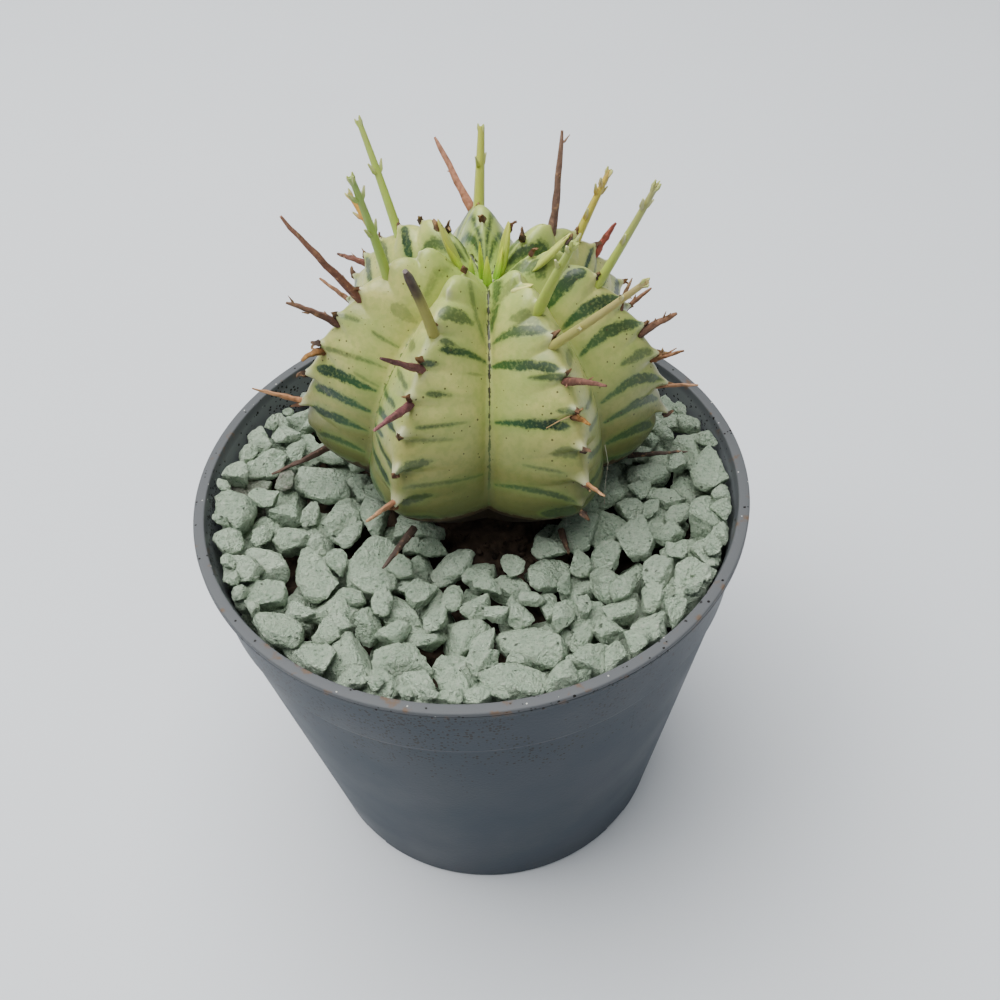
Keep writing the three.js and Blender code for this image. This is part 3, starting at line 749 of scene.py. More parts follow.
def lathe(name, profile, segments):
    """Spins a closed profile of (radius, height) points in millimetres round Z."""
    mesh = bpy.data.meshes.new(name)
    mesh.from_pydata([(r * MM, 0, z * MM) for r, z in profile], [(i, i + 1) for i in range(len(profile) - 1)], [])
    piece = new_object(name, mesh)
    make_active(piece)
    bpy.ops.object.mode_set(mode="EDIT")
    bpy.ops.mesh.select_all(action="SELECT")
    bpy.ops.mesh.spin(steps=segments, angle=2 * math.pi, center=(0, 0, 0), axis=(0, 0, 1))
    bpy.ops.mesh.select_all(action="SELECT")
    bpy.ops.mesh.remove_doubles(threshold=1e-6)
    outward_normals(piece)
    return piece


def arc(centre, radius, start, end, steps):
    """Points along an arc in the profile plane, with its angles in degrees."""
    turns = [math.radians(start + (end - start) * i / steps) for i in range(steps + 1)]
    return [(centre[0] + radius * math.cos(t), centre[1] + radius * math.sin(t)) for t in turns]


class SPURGE_OT_pot(bpy.types.Operator):
    """Make the pot with its lip, collar, drain holes and notches"""

    bl_idname = "spurge.pot"
    bl_label = "Pot"

    def execute(self, context):
        settings = context.scene.spurge_pot
        wall = settings.wall / MM
        profile = [
            (0, 0), (15, 0), (15.4, 1.2), (26.6, 1.2), (27, 0), (30.9, 0),
            *arc((30.9, 0.8), 0.8, -80, 0, 5),
            (BASE_RADIUS + 0.1, 1.6),
            (WALL_TOP - 0.04, COLLAR_Z - 1.0), (WALL_TOP, COLLAR_Z - 0.5),
            (COLLAR_FOOT - 0.12, COLLAR_Z - 0.05), (COLLAR_FOOT, COLLAR_Z + 0.3),
            (COLLAR_TOP - 0.03, LIP_Z - 0.75), (COLLAR_TOP + 0.05, LIP_Z - 0.45),
            (RIM_RADIUS - 0.55, LIP_Z - 0.3), (RIM_RADIUS - 0.2, LIP_Z - 0.15),
            *arc((RIM_RADIUS - 0.25, LIP_Z + 0.2), 0.25, -60, 0, 3),
            (RIM_RADIUS - 0.02, LIP_Z + 0.55), (RIM_RADIUS - 0.2, LIP_Z + 0.62), (RIM_RADIUS - 0.04, LIP_Z + 0.72),
            *arc((RIM_RADIUS - 0.3, POT_HEIGHT - 0.3), 0.3, 0, 90, 5),
            *arc((RIM_RADIUS - LIP_WIDTH + 0.25, POT_HEIGHT - 0.25), 0.25, 90, 180, 4),
            (COLLAR_TOP - wall, LIP_Z - 0.2),
            (COLLAR_FOOT - wall, COLLAR_Z + 0.3), (WALL_TOP - wall, COLLAR_Z - 0.5),
            (BASE_RADIUS - wall + 0.2, FLOOR_TOP + 1), (BASE_RADIUS - wall - 1, FLOOR_TOP), (0, FLOOR_TOP),
        ]
        pot = lathe("pot_shell", profile, settings.segments)
        cutters = []
        for turn, spot in self.ring(6, 0, HOLE_RING):
            deselect()
            bpy.ops.mesh.primitive_cylinder_add(
                vertices=32, radius=settings.drain_hole, depth=9 * MM, location=spot)
            cutters.append(bpy.context.object)
        for turn, spot in self.ring(4, 0.5, NOTCH_RING):
            deselect()
            bpy.ops.mesh.primitive_cube_add(
                size=1, location=spot, rotation=(0, 0, turn), scale=[side * MM for side in NOTCH_SIZE])
            cutters.append(bpy.context.object)
        cutter = join_pieces(cutters, "drain_cutter")
        apply_modifier(pot, "BOOLEAN", object=cutter, operation="DIFFERENCE", solver="EXACT", use_self=False)
        bpy.data.objects.remove(cutter)
        points = vertex_array(pot.data) / MM
        inner = (np.hypot(points[:, 0], points[:, 1]) < inside_radius(points[:, 2]) + 0.3) & (points[:, 2] > 2)
        put_attribute(pot.data, "inner_face", inner)
        shade(pot, 32)
        settle(pot, pot_plastic(), "pot_plastic", "pot")
        return {"FINISHED"}

    def ring(self, count, shift, radius):
        """The turn and place of each cutter on a ring round the pot's middle."""
        turns = [2 * math.pi * (i + shift) / count for i in range(count)]
        return [(t, (radius * MM * math.cos(t), radius * MM * math.sin(t), 0)) for t in turns]


# Soil


class SPURGE_OT_soil(bpy.types.Operator):
    """Make the soil with its low mound and loose crumbs"""

    bl_idname = "spurge.soil"
    bl_label = "Soil"

    def execute(self, context):
        foot, shoulder = 5, 58
        edge = float(inside_radius(shoulder)) - SOIL_GAP - 0.2
        profile = [
            (0, FLOOR_TOP + 0.35), (29.2, FLOOR_TOP + 0.35), (float(inside_radius(foot)) - SOIL_GAP, foot),
            (edge + 0.2, shoulder), (edge, SOIL_TOP),
        ]
        soil = lathe("soil_fill", profile, 96)
        deselect()
        bpy.ops.mesh.primitive_grid_add(x_subdivisions=220, y_subdivisions=220, size=80 * MM, location=(0, 0, 0))
        crust = bpy.context.object
        points = vertex_array(crust.data)
        # The square grid is pulled to a round one.
        x, y = points[:, 0] / MM, points[:, 1] / MM
        reach = np.maximum(np.abs(x), np.abs(y))
        length = np.maximum(np.hypot(x, y), 1e-9)
        x, y = x * reach / length * edge / 40, y * reach / length * edge / 40
        z = np.where(np.hypot(x, y) > edge - 0.2, SOIL_TOP, SOIL_TOP + MOUND_RISE * mound(x, y))
        set_vertices(crust.data, np.stack([x, y, z], axis=1) * MM)
        roughen(crust, "Soil lumps", 2.2 * MM, 1.5 * MM, 4, 0.62, 0.9, direction="Z")
        soil = join_pieces([soil, crust, *self.crumbs()], "soil_fill")
        shade(soil)
        settle(soil, peat_soil(), "soil", "soil")
        return {"FINISHED"}

    def crumbs(self):
        """Loose crumbs, most of them in the bare hollow in front of the plant."""
        draw = random.Random(12)
        crumbs = []
        for i in range(300):
            turn = draw.uniform(-42, 42) if i % 3 else draw.uniform(0, 360)
            reach = draw.uniform(15.5, 24.5)
            x = PLANT_CENTRE.x + reach * math.sin(math.radians(turn))
            y = PLANT_CENTRE.y - 1.5 - reach * math.cos(math.radians(turn))
            if math.hypot(x, y) > 36:
                continue
            size = draw.choice((0.25, 0.35, 0.5, 0.75)) * draw.uniform(0.7, 1.2)
            deselect()
            bpy.ops.mesh.primitive_ico_sphere_add(
                subdivisions=1, radius=size * MM,
                location=(x * MM, y * MM, (SOIL_TOP + MOUND_RISE * float(mound(x, y)) + 0.2) * MM),
                rotation=(draw.uniform(0, 6), draw.uniform(0, 6), 0),
                scale=(1, draw.uniform(0.6, 1), draw.uniform(0.45, 0.9)))
            crumbs.append(bpy.context.object)
        return crumbs


# Stone chips


class SPURGE_OT_chips(bpy.types.Operator):
    """Break stone chips to shape and let them fall one by one into the pot"""

    bl_idname = "spurge.chips"
    bl_label = "Stone chips"

    CELL = 0.5  # of the height field, in millimetres
    MASTERS = 14
    STONE_FACES = 1050
    LOW_SHARE = 0.86  # of the bed is nearer to being full than where a stone is tried
    MOST_RISE = 0.7  # above the bed's level
    MOST_STONES = 250
    MOST_MISSES = 60
    TRIES = 22
    WALL_REACH = 38.5  # where a stone that lies by the wall is tried first

    def execute(self, context):
        settings = context.scene.spurge_chips
        self.draw = random.Random(settings.seed)
        masters = [self.break_stone(i) for i in range(self.MASTERS)]
        chips = self.drop_stones(masters, settings)
        for master in masters:
            bpy.data.objects.remove(master)
        material = zeolite()
        half = len(chips) // 2
        for name, layer in (("chips_below", chips[:half]), ("chips_on_top", chips[half:])):
            layer = join_pieces(layer, name)
            shade(layer, 50)
            settle(layer, material, "stone_chips", "stone_chips")
        return {"FINISHED"}

    def break_stone(self, index):
        """One stone of unit half-length: a ball cut by flat breaks, its edges worn and its faces roughened."""
        draw = random.Random(100 + index)
        deselect()
        bpy.ops.mesh.primitive_ico_sphere_add(subdivisions=3, radius=1.3)
        stone = bpy.context.object
        bpy.ops.object.mode_set(mode="EDIT")
        for _ in range(draw.randint(10, 13)):
            normal = Vector((draw.gauss(0, 1), draw.gauss(0, 1), draw.gauss(0, 1))).normalized()
            bpy.ops.mesh.select_all(action="SELECT")
            bpy.ops.mesh.bisect(
                plane_co=normal * draw.uniform(0.5, 0.86), plane_no=normal, use_fill=True, clear_outer=True)
        bpy.ops.object.mode_set(mode="OBJECT")
        points = vertex_array(stone.data)
        half = np.abs(points - (points.max(axis=0) + points.min(axis=0)) / 2).max(axis=0)
        shape = np.array([1, draw.uniform(0.66, 0.86), draw.uniform(0.5, 0.7)])
        set_vertices(stone.data, points / half * shape)
        apply_modifier(stone, "REMESH", mode="VOXEL", voxel_size=0.062)
        apply_modifier(stone, "SMOOTH", factor=0.5, iterations=1)
        roughen(stone, "Stone lumps", 0.3, 0.15, 6)
        apply_modifier(stone, "DECIMATE", ratio=self.STONE_FACES / (2 * len(stone.data.polygons)))
        return stone

    def level(self, x, y):
        """Height that the top of the bed lies at."""
        heaped = smoothstep(np.hypot(x, y), 30, 39) * (1 - smoothstep(y, 2, 24))
        return POT_HEIGHT - self.depth - 0.018 * y + 1.8 * (x / RIM_RADIUS) ** 2 + 2.3 * heaped

    def drop_stones(self, masters, settings):
        """Each stone goes where it can lie lowest, on the soil or on stones that fell before."""
        self.depth = settings.depth / MM
        side = int(2 * RIM_RADIUS / self.CELL) + 2
        axis = (np.arange(side) - side // 2) * self.CELL
        gx, gy = np.meshgrid(axis, axis, indexing="ij")
        self.ground = SOIL_TOP + MOUND_RISE * mound(gx, gy)
        level = self.level(gx, gy)
        free = self.open_ground(gx, gy) & (np.hypot(gx, gy) < BED_RADIUS)
        shapes = [vertex_array(m.data) for m in masters]
        placed = []
        missed = 0
        while missed < self.MOST_MISSES and len(placed) < self.MOST_STONES:
            by_wall = len(placed) % 3 == 0
            share = len(placed) / 150
            size = settings.length / MM / 2 * self.draw.choice(
                (1.4, 1.25, 1.1, 1.0) if share < 0.45 else (1.25, 1.1, 0.9, 0.8) if share < 0.8 else (0.85, 0.7, 0.6))
            size *= 1 if missed < 12 else 0.75 if missed < 24 else 0.55
            which = self.draw.randrange(len(masters))
            room = np.where(free, level - self.ground, -99)
            low = np.argwhere(room >= np.quantile(room[free], self.LOW_SHARE))
            best = None
            for _ in range(self.TRIES):
                heading = self.draw.uniform(0, 2 * math.pi)
                if by_wall:
                    i = side // 2 + round(self.WALL_REACH * math.cos(heading) / self.CELL)
                    j = side // 2 + round(self.WALL_REACH * math.sin(heading) / self.CELL)
                    heading += math.pi / 2 + self.draw.gauss(0, 0.3)
                else:
                    i, j = low[self.draw.randrange(len(low))]
                turned = shapes[which] @ self.turn(heading).T * size
                spot = self.lean_on_wall(turned[::5], gx[i, j], gy[i, j])
                if spot is None:
                    continue
                x, y, z = spot
                rise = z + turned[:, 2].max() - self.level(x, y)
                if best is None or rise < best[0]:
                    best = (rise, x, y, z)
                    stone = turned
            if best is None or best[0] > self.MOST_RISE:
                missed += 1
                continue
            missed = 0
            x, y, z = best[1:]
            i, j = self.cells(stone, x, y)
            np.maximum.at(self.ground, (i, j), stone[:, 2] + z)
            copy = new_object("chip", masters[which].data.copy())
            set_vertices(copy.data, (stone + np.array([x, y, z])) * MM)
            tone = self.draw.uniform(0.2, 1)
            if math.hypot(x + 33.5, y - 6) < 4:
                tone = 0  # one brown stone lies at the left
            put_attribute(copy.data, "chip_tone", np.full(len(stone), tone))
            placed.append(copy)
        return placed

    def turn(self, heading):
        """A stone lies nearly flat on one of its two broad faces."""
        return np.array(
            Matrix.Rotation(heading, 3, "Z")
            @ Matrix.Rotation(self.draw.gauss(0, 0.4), 3, "X")
            @ Matrix.Rotation(self.draw.gauss(0, 0.4), 3, "Y")
            @ Matrix.Rotation(self.draw.choice((0, math.pi)), 3, "X")
        )

    def lean_on_wall(self, stone, x, y):
        """Moves a stone in from the wall until it fits, and gives its place, or nothing where the plant is."""
        for _ in range(3):
            z = self.landing(stone, x, y)
            points = stone + np.array([x, y, z])
            over = (np.hypot(points[:, 0], points[:, 1]) - inside_radius(points[:, 2])).max() + 0.3
            if over <= 0:
                break
            reach = math.hypot(x, y)
            x, y = x * (1 - (over + 0.05) / reach), y * (1 - (over + 0.05) / reach)
        if over > 0 or z < SOIL_TOP + 0.5 or not self.open_ground(x, y) or SKIN.inside(points, 0.3).any():
            return None
        return x, y, z

    def open_ground(self, x, y):
        """Not in the bare hollow in front of the plant, nor under its middle."""
        dx, dy = x - PLANT_CENTRE.x, y - PLANT_CENTRE.y
        away = np.hypot(dx, dy)
        hollow = (np.abs(dx + 0.5) < 8.5) & (dy < 0) & (away < 25.5)
        return (away > 19) & ~hollow

    def cells(self, stone, x, y):
        middle = self.ground.shape[0] // 2
        i = np.rint((stone[:, 0] + x) / self.CELL).astype(int) + middle
        j = np.rint((stone[:, 1] + y) / self.CELL).astype(int) + middle
        edge = self.ground.shape[0] - 1
        return np.clip(i, 0, edge), np.clip(j, 0, edge)

    def landing(self, stone, x, y):
        """Height of a stone's middle when it has settled between the stones under it."""
        under = stone[stone[:, 2] < 0]
        i, j = self.cells(under, x, y)
        return float(np.quantile(self.ground[i, j] - under[:, 2], 0.97)) - 0.1


# Plant


class SPURGE_OT_body(bpy.types.Operator):
    """Grow the ribbed globe with its teeth, knobs, neck and tap root"""

    bl_idname = "spurge.body"
    bl_label = "Ribbed body"

    # Rings of the underside, neck and tap root: radius, height and how far the ribs still show
    BELOW = (
        (21, -8.6, 1), (18.6, -10.2, 1), (15, -11.9, 0.5), (11, -12.9, 0.2), (8.6, -14.8, 0), (7, -21, 0),
        (5, -28, 0), (3, -36, 0),
    )

    def execute(self, context):
        azimuth = np.radians(SKIN.azimuth)
        rings = list(SKIN.grid())
        for radius, z, ribbing in self.BELOW:
            reach = radius * (1 - 0.14 * ribbing * SKIN.share)
            ring = [reach * np.sin(azimuth), -reach * np.cos(azimuth), np.full(len(azimuth), float(z))]
            rings.append(np.stack(ring, axis=1))
        table = np.stack(rings)
        ring_count, across = table.shape[0], table.shape[1]
        deselect()
        bpy.ops.mesh.primitive_uv_sphere_add(segments=across, ring_count=ring_count + 1, radius=1)
        body = bpy.context.object
        unit = vertex_array(body.data)
        polar = np.arccos(np.clip(unit[:, 2], -1, 1))
        ring = np.rint(polar / math.pi * (ring_count + 1)).astype(int) - 1
        column = np.rint(np.arctan2(unit[:, 1], unit[:, 0]) / (2 * math.pi) * across).astype(int) % across
        top, bottom = ring < 0, ring >= ring_count
        ring = np.clip(ring, 0, ring_count - 1)
        local = table[ring, column]
        local[top] = (0, 0, float(crest_distance(0)) + 0.05)
        local[bottom] = (0, 0, -41)
        set_vertices(body.data, all_in_pot(local))
        self.mark(body.data, ring, column, top, bottom)
        roughen(body, "Skin unevenness", 9 * MM, context.scene.spurge_plant.unevenness)
        outward_normals(body)
        body.name = "plant_body"
        shade(body)
        settle(body, spurge_skin(), "plant_skin", "plant")
        return {"FINISHED"}

    def mark(self, mesh, ring, column, top, bottom):
        """Stores where each vertex lies on its rib, and how near it is to a dark band."""
        crowns = np.concatenate([SKIN.crowns, np.full(len(self.BELOW), UNDERSIDE + 6.0)])
        crown = crowns[ring]
        crown[top] = 0
        crown[bottom] = UNDERSIDE + 6
        share = SKIN.share[column]
        distance = crest_distance(crown)
        across = np.radians(SKIN.gap[column]) * distance * np.sin(np.radians(np.clip(crown, 1, 90)))
        best = np.full(len(crown), -9.0)
        band = [np.full(len(crown), 9.0), np.zeros(len(crown)), np.zeros(len(crown))]
        for (rib, side), lines in self.all_bands().items():
            here = (SKIN.rib[column] == rib) & ((SKIN.side[column] == side) | (share == 0))
            for crest, middle, furrow, start, end, half, ink in lines:
                line = self.through(share, crest, middle, furrow)
                gap = np.radians(np.abs(crown - line)) * distance
                along = np.clip((share - start) / (end - start), 0, 1)
                ends = np.clip(np.minimum(along / 0.12, (1 - along) / 0.45), 0, 1) ** 0.6
                off = np.clip(np.maximum(start - share, share - end), 0, 1) * across
                self.keep_nearest(band, best, here, gap + off, half * ends, ink)
        for (rib, side), start, end, share_start, share_end, half, ink in STREAKS:
            here = (SKIN.rib[column] == rib) & (SKIN.side[column] == side)
            along = np.clip((crown - start) / (end - start), 0, 1)
            line = share_start + (share_end - share_start) * along
            gap = np.abs(share - line) * across
            off = np.radians(np.clip(np.maximum(start - crown, crown - end), 0, 90)) * distance
            ends = np.clip(np.minimum(along, 1 - along) / 0.25, 0, 1) ** 0.6
            self.keep_nearest(band, best, here, gap + off, half * ends, ink)
        # The furrow between the first two ribs, in front, holds the most dirt.
        rib, side = SKIN.rib[column], SKIN.side[column]
        front = ((rib == 0) & (side == 1)) | ((rib == 1) & (side == -1))
        dirt = np.where(front, 1 - 0.45 * smoothstep(crown, 45, 75), 0.4)
        values = {
            "band_gap": band[0], "band_half": band[1], "band_ink": band[2], "crown_angle": crown,
            "flank_share": share, "furrow_gap": (1 - share) * across,
            "furrow_ink": np.maximum(dirt, 1 - smoothstep(crown, 10, 22)),
            "knob": np.clip(SKIN.knob(crown, share, SKIN.first[column]) * 0.9, 0, 1),
        }
        for name, numbers in values.items():
            put_attribute(mesh, name, numbers)

    def through(self, share, crest, middle, furrow):
        """A smooth line across a flank through three crown angles, at shares 0.05, 0.5 and 0.95."""
        t = (share - 0.05) / 0.9
        return crest * (1 - t) * (1 - 2 * t) + middle * 4 * t * (1 - t) + furrow * t * (2 * t - 1)

    def keep_nearest(self, band, best, here, gap, half, ink):
        closer = here & (half - gap > best)
        best[closer] = (half - gap)[closer]
        band[0][closer] = gap[closer]
        band[1][closer] = half[closer]
        band[2][closer] = ink

    def all_bands(self):
        """The bands seen in front, and one for each node on the flanks that are out of sight."""
        draw = random.Random(31)
        bands = dict(BANDS)
        for rib, (_, first, _) in enumerate(RIBS):
            for side in (-1, 1):
                if (rib, side) in bands:
                    continue
                lines = []
                for node in range(1, 9):
                    middle = first + NODE_STEP * (node + 0.35) + draw.uniform(-1.4, 1.4)
                    if middle > 100:
                        break
                    crest = middle + draw.uniform(1, 5)
                    furrow = middle + draw.uniform(-1.5, 1.5)
                    start, end = draw.uniform(0, 0.15), draw.uniform(0.7, 1)
                    lines.append((crest, middle, furrow, start, end, draw.uniform(0.35, 0.95), draw.uniform(0.7, 1)))
                    if draw.random() < 0.45:
                        thin = middle + NODE_STEP * 0.45
                        lines.append((thin + 2, thin, thin, draw.uniform(0, 0.4), draw.uniform(0.5, 1), 0.22, 0.6))
                bands[(rib, side)] = lines
        return bands


# Stalks, scraps and leaves


def rod(path, radii, foot, direction, length, colours, round_steps=0, power=1.5):
    """A round rod along points in the plant's frame, with a radius at each, coloured from its foot to its tip."""
    curve = bpy.data.curves.new("rod", "CURVE")
    curve.dimensions = "3D"
    curve.bevel_depth = 1
    curve.bevel_resolution = round_steps
    curve.use_fill_caps = True
    spline = curve.splines.new("POLY")
    spline.points.add(len(path) - 1)
    for point, place, radius in zip(spline.points, path, radii):
        point.co = (*in_pot(place), 1)
        point.radius = radius * MM
    make_active(new_object("rod", curve))
    bpy.ops.object.convert(target="MESH")
    piece = bpy.context.object
    tint(piece, foot, direction, length, colours, power)
    return piece


def tint(piece, foot, direction, length, colours, power=1.5):
    """Colours a piece from its foot to its tip, by a power of the way, or by a short change if there is none."""
    start = np.array(in_pot(foot))
    along = (vertex_array(piece.data) - start) @ np.array(LEAN @ direction) / (length * MM)
    along = np.clip(along, 0, 1)[:, None]
    along = along**power if power else smoothstep(along, 0.45, 0.72)
    blend = np.array(linear(colours[0])) * (1 - along) + np.array(linear(colours[1])) * along
    put_attribute(piece.data, "hue", blend, "FLOAT_COLOR", "color")


def bent_path(foot, direction, side, length, bend, sink, steps):
    """Points from under the skin to the tip, bending by some degrees on the way."""
    points = [foot - direction * sink]
    place = foot.copy()
    heading = direction.copy()
    turn = Matrix.Rotation(math.radians(bend / steps), 3, side)
    for _ in range(steps + 1):
        points.append(place.copy())
        place = place + heading * (length / steps)
        heading = turn @ heading
    return points


class SPURGE_OT_stalks(bpy.types.Operator):
    """Set the fresh and dry flower stalks on the ribs"""

    bl_idname = "spurge.stalks"
    bl_label = "Flower stalks"

    def execute(self, context):
        draw = random.Random(3)
        fresh, dry = [], []
        for azimuth, first, stalks in RIBS:
            for node, is_fresh, length, girth, lift, lean, *colours, bend, marks in stalks:
                crown = first + NODE_STEP * node
                foot = on_globe(float(crest_distance(crown)) + 0.2, crown, azimuth)
                direction = rib_direction(azimuth, 90 - crown + 7 + lift, lean)
                path = bent_path(foot, direction, on_globe(1, 90, azimuth + 90), length, bend, 1.6, 9)
                radius = context.scene.spurge_plant.stalk_radius * girth / MM
                values = (path, radius, foot, direction, length, colours, marks, draw)
                if is_fresh:
                    fresh += self.fresh_stalk(*values, withering=is_fresh == 2)
                else:
                    dry += self.dry_stalk(*values)
        fresh = join_pieces(fresh, "fresh_stalks")
        shade(fresh, 60)
        settle(fresh, stalk_flesh(), "plant_skin")
        dry = join_pieces(dry, "dry_stalks")
        roughen(dry, "Stalk wrinkles", 0.9 * MM, 0.25 * MM, 3)
        shade(dry, 60)
        settle(dry, stalk_husk(), "plant_skin")
        return {"FINISHED"}

    def fresh_stalk(self, path, radius, foot, direction, length, colours, marks, draw, withering):
        """A smooth green stalk with pairs of small bracts and a scarred, forked tip, or a withering bare one."""
        steps = len(path) - 1
        thick, taper = (1.1, 0.36) if withering else (1.18, 0.58)
        radii = [radius * (thick - taper * i / steps) for i in range(steps + 1)]
        radii[0] = radius * 1.3
        if withering:
            radii[-1] *= 0.55
        parts = [rod(path, radii, foot, direction, length, colours, 1, None if withering else 1.5)]
        around = direction.orthogonal().normalized()
        for share in marks:
            spot = path[int(share * steps)]
            for turn in (0, math.pi):
                out = Matrix.Rotation(turn + draw.uniform(-0.3, 0.3), 3, direction) @ around
                tip = spot + out * radius * 2 + direction * draw.uniform(1.2, 1.9)
                bract = [spot + out * radius * 0.4, spot + out * radius + direction * 0.4, tip]
                parts.append(rod(bract, (0.36, 0.38, 0.14), spot, direction, 1.4, (colours[1], "c9c98f")))
        end = path[-1]
        for turn in () if withering else (0.3, 2.4, 4.5):
            out = Matrix.Rotation(turn, 3, direction) @ around
            lobe = [
                end - direction * 1.1 + out * 0.1, end - direction * 0.2 + out * 0.4,
                end + direction * draw.uniform(0.1, 0.6) + out * 0.5,
            ]
            parts.append(rod(lobe, (0.32, 0.3, 0.1), end - direction * 1.3, direction, 1.4, (colours[1], "bcc574")))
        return parts

    def dry_stalk(self, path, radius, foot, direction, length, colours, marks, draw):
        """A shrunken brown stalk, thick at its foot, with torn snags and a sharp tip."""
        steps = len(path) - 1
        radii = [
            radius * (1.15 - 0.75 * (i / steps) ** 1.2) * (1 + draw.uniform(-0.1, 0.1)) for i in range(steps + 1)
        ]
        radii[-1] = max(0.1, radius * 0.3)
        kinks = [p + Vector((draw.uniform(-1, 1), draw.uniform(-1, 1), draw.uniform(-1, 1))) * 0.07 for p in path]
        parts = [rod(kinks, radii, foot, direction, length, colours, 1)]
        around = direction.orthogonal().normalized()
        for share in marks:
            spot = path[int(share * steps)]
            out = Matrix.Rotation(draw.uniform(0, 6.3), 3, direction) @ around
            tip = spot + out * draw.uniform(0.7, 1.2) + direction * draw.uniform(0.6, 1.4)
            snag = [spot, spot + out * 0.45 + direction * 0.3, tip]
            parts.append(rod(snag, (0.26, 0.2, 0.07), spot, direction, 1.2, (colours[1], "a9825c")))
        return parts


class SPURGE_OT_scraps(bpy.types.Operator):
    """Set the withered leaf scraps on the knobs of the ribs"""

    bl_idname = "spurge.scraps"
    bl_label = "Withered scraps"

    TONES = (("4e3524", "a87f52"), ("5b3a26", "7d5a38"), ("3d2a1e", "8c6844"), ("6b4a2c", "b5925f"))

    def execute(self, context):
        draw = random.Random(8)
        scraps = []
        for azimuth, first, _ in RIBS:
            for node in range(11):
                if node == 1 and azimuth in (-28, 28, 78, 282):
                    continue  # a young leaf is still green here, or has gone
                crown = first + NODE_STEP * node
                crown -= NODE_STEP * float(SKIN.knob_lead(crown))
                if crown < 12 or crown > 89:
                    continue
                tip_distance = float(crest_distance(crown)) + 0.9 + float(SKIN.knob_length(crown))
                tip = on_globe(tip_distance, crown + float(SKIN.droop(crown)), azimuth)
                out = rib_direction(azimuth, 90 - crown + draw.uniform(-25, 30), draw.uniform(-20, 20))
                scraps += self.scrap(tip, out, draw)
        for length, crown, azimuth, heading, elevation, *_, dry in CROWN_LEAVES:
            if dry:
                out = on_globe(1, 90 - elevation, heading)
                tip = on_globe(float(crest_distance(crown)) - 0.5, crown, azimuth) + out * (length - 0.9)
                scraps += self.scrap(tip, out, draw)
        scraps = join_pieces(scraps, "withered_scraps")
        roughen(scraps, "Scrap crumple", 0.6 * MM, 0.5 * MM)
        scraps = join_pieces([scraps, *self.strands()], "withered_scraps")
        shade(scraps, 60)
        settle(scraps, stalk_husk(), "plant_skin")
        return {"FINISHED"}

    def strands(self):
        """Two dry fibres caught on the front right rib."""
        strands = []
        for spots, radius, colour in (
            ([(17.6, -13, 1.4), (18.3, -13.6, -1.6), (18.2, -13.9, -5.5), (18.4, -14.3, -9.6)], 0.07, "c9c7b2"),
            ([(11.2, -21.4, 14.4), (9.2, -22, 13.8), (7.5, -22.2, 12.7)], 0.09, "a98a58"),
        ):
            path = [Vector(spot) for spot in spots]
            along = (path[-1] - path[0]).normalized()
            strands.append(rod(path, [radius] * len(path), path[0], along, 8, (colour, colour)))
        return strands

    def scrap(self, tip, out, draw):
        """A crumpled, hooked scrap of dead leaf, with a torn side strip on some."""
        length = draw.uniform(0.8, 1.8)
        side = Matrix.Rotation(draw.uniform(0, 6.3), 3, out) @ out.orthogonal().normalized()
        path = bent_path(tip - out * 0.3, out, side, length, draw.uniform(25, 110), 0.5, 5)
        radii = [r * draw.uniform(0.8, 1.2) for r in (0.42, 0.6, 0.52, 0.42, 0.3, 0.2, 0.08)]
        tone = draw.choice(self.TONES)
        parts = [rod(path, radii, tip, out, length, tone)]
        if draw.random() < 0.4:
            away = (out * 0.4 + side * draw.uniform(-1, 1)).normalized()
            strip = [tip, tip + away * 0.7, tip + away * 1.3 - out * 0.3]
            parts.append(rod(strip, (0.22, 0.2, 0.06), tip, away, 1.3, (tone[0], "b8935f")))
        return parts


class SPURGE_OT_crown_leaves(bpy.types.Operator):
    """Grow the small young leaves in the sunken crown"""

    bl_idname = "spurge.crown_leaves"
    bl_label = "Crown leaves"

    def execute(self, context):
        leaves = join_pieces([self.leaf(*values) for values in CROWN_LEAVES], "crown_leaves")
        shade(leaves)
        settle(leaves, stalk_flesh(), "plant_skin")
        return {"FINISHED"}

    def leaf(self, length, crown, azimuth, heading, elevation, width, foot_colour, tip_colour, dry):
        """A narrow folded leaf: an egg drawn out to a point, with a groove down its inner face."""
        foot = on_globe(float(crest_distance(crown)) - 0.5, crown, azimuth)
        axis = on_globe(1, 90 - elevation, heading)
        deselect()
        bpy.ops.mesh.primitive_uv_sphere_add(segments=20, ring_count=14, radius=1)
        piece = bpy.context.object
        unit = vertex_array(piece.data)
        along = (unit[:, 2] + 1) / 2
        body = np.sin(math.pi * np.clip(along, 0, 1) ** (0.8 if dry else 0.62)) ** (0.5 if dry else 0.75)
        girth = np.maximum(np.hypot(unit[:, 0], unit[:, 1]), 1e-6)
        x = unit[:, 0] / girth * body * width / 2
        y = unit[:, 1] / girth * body * width / 3
        y = y + np.exp(-((x / (0.18 * width)) ** 2)) * (y < 0) * body * width * 0.24
        x, y = np.where(girth < 1e-5, 0, (x, y))
        inner = -on_globe(1, 90, heading)
        depth = (inner - axis * inner.dot(axis)).normalized()
        points = (
            np.array(foot)
            + np.outer(x, np.array(axis.cross(depth)))
            + np.outer(0.072 * length * along**2 - y, np.array(depth))
            + np.outer(along * (length + 0.8) - 0.8, np.array(axis))
        )
        set_vertices(piece.data, all_in_pot(points))
        tint(piece, foot, axis, length, (foot_colour, tip_colour))
        outward_normals(piece)
        return piece


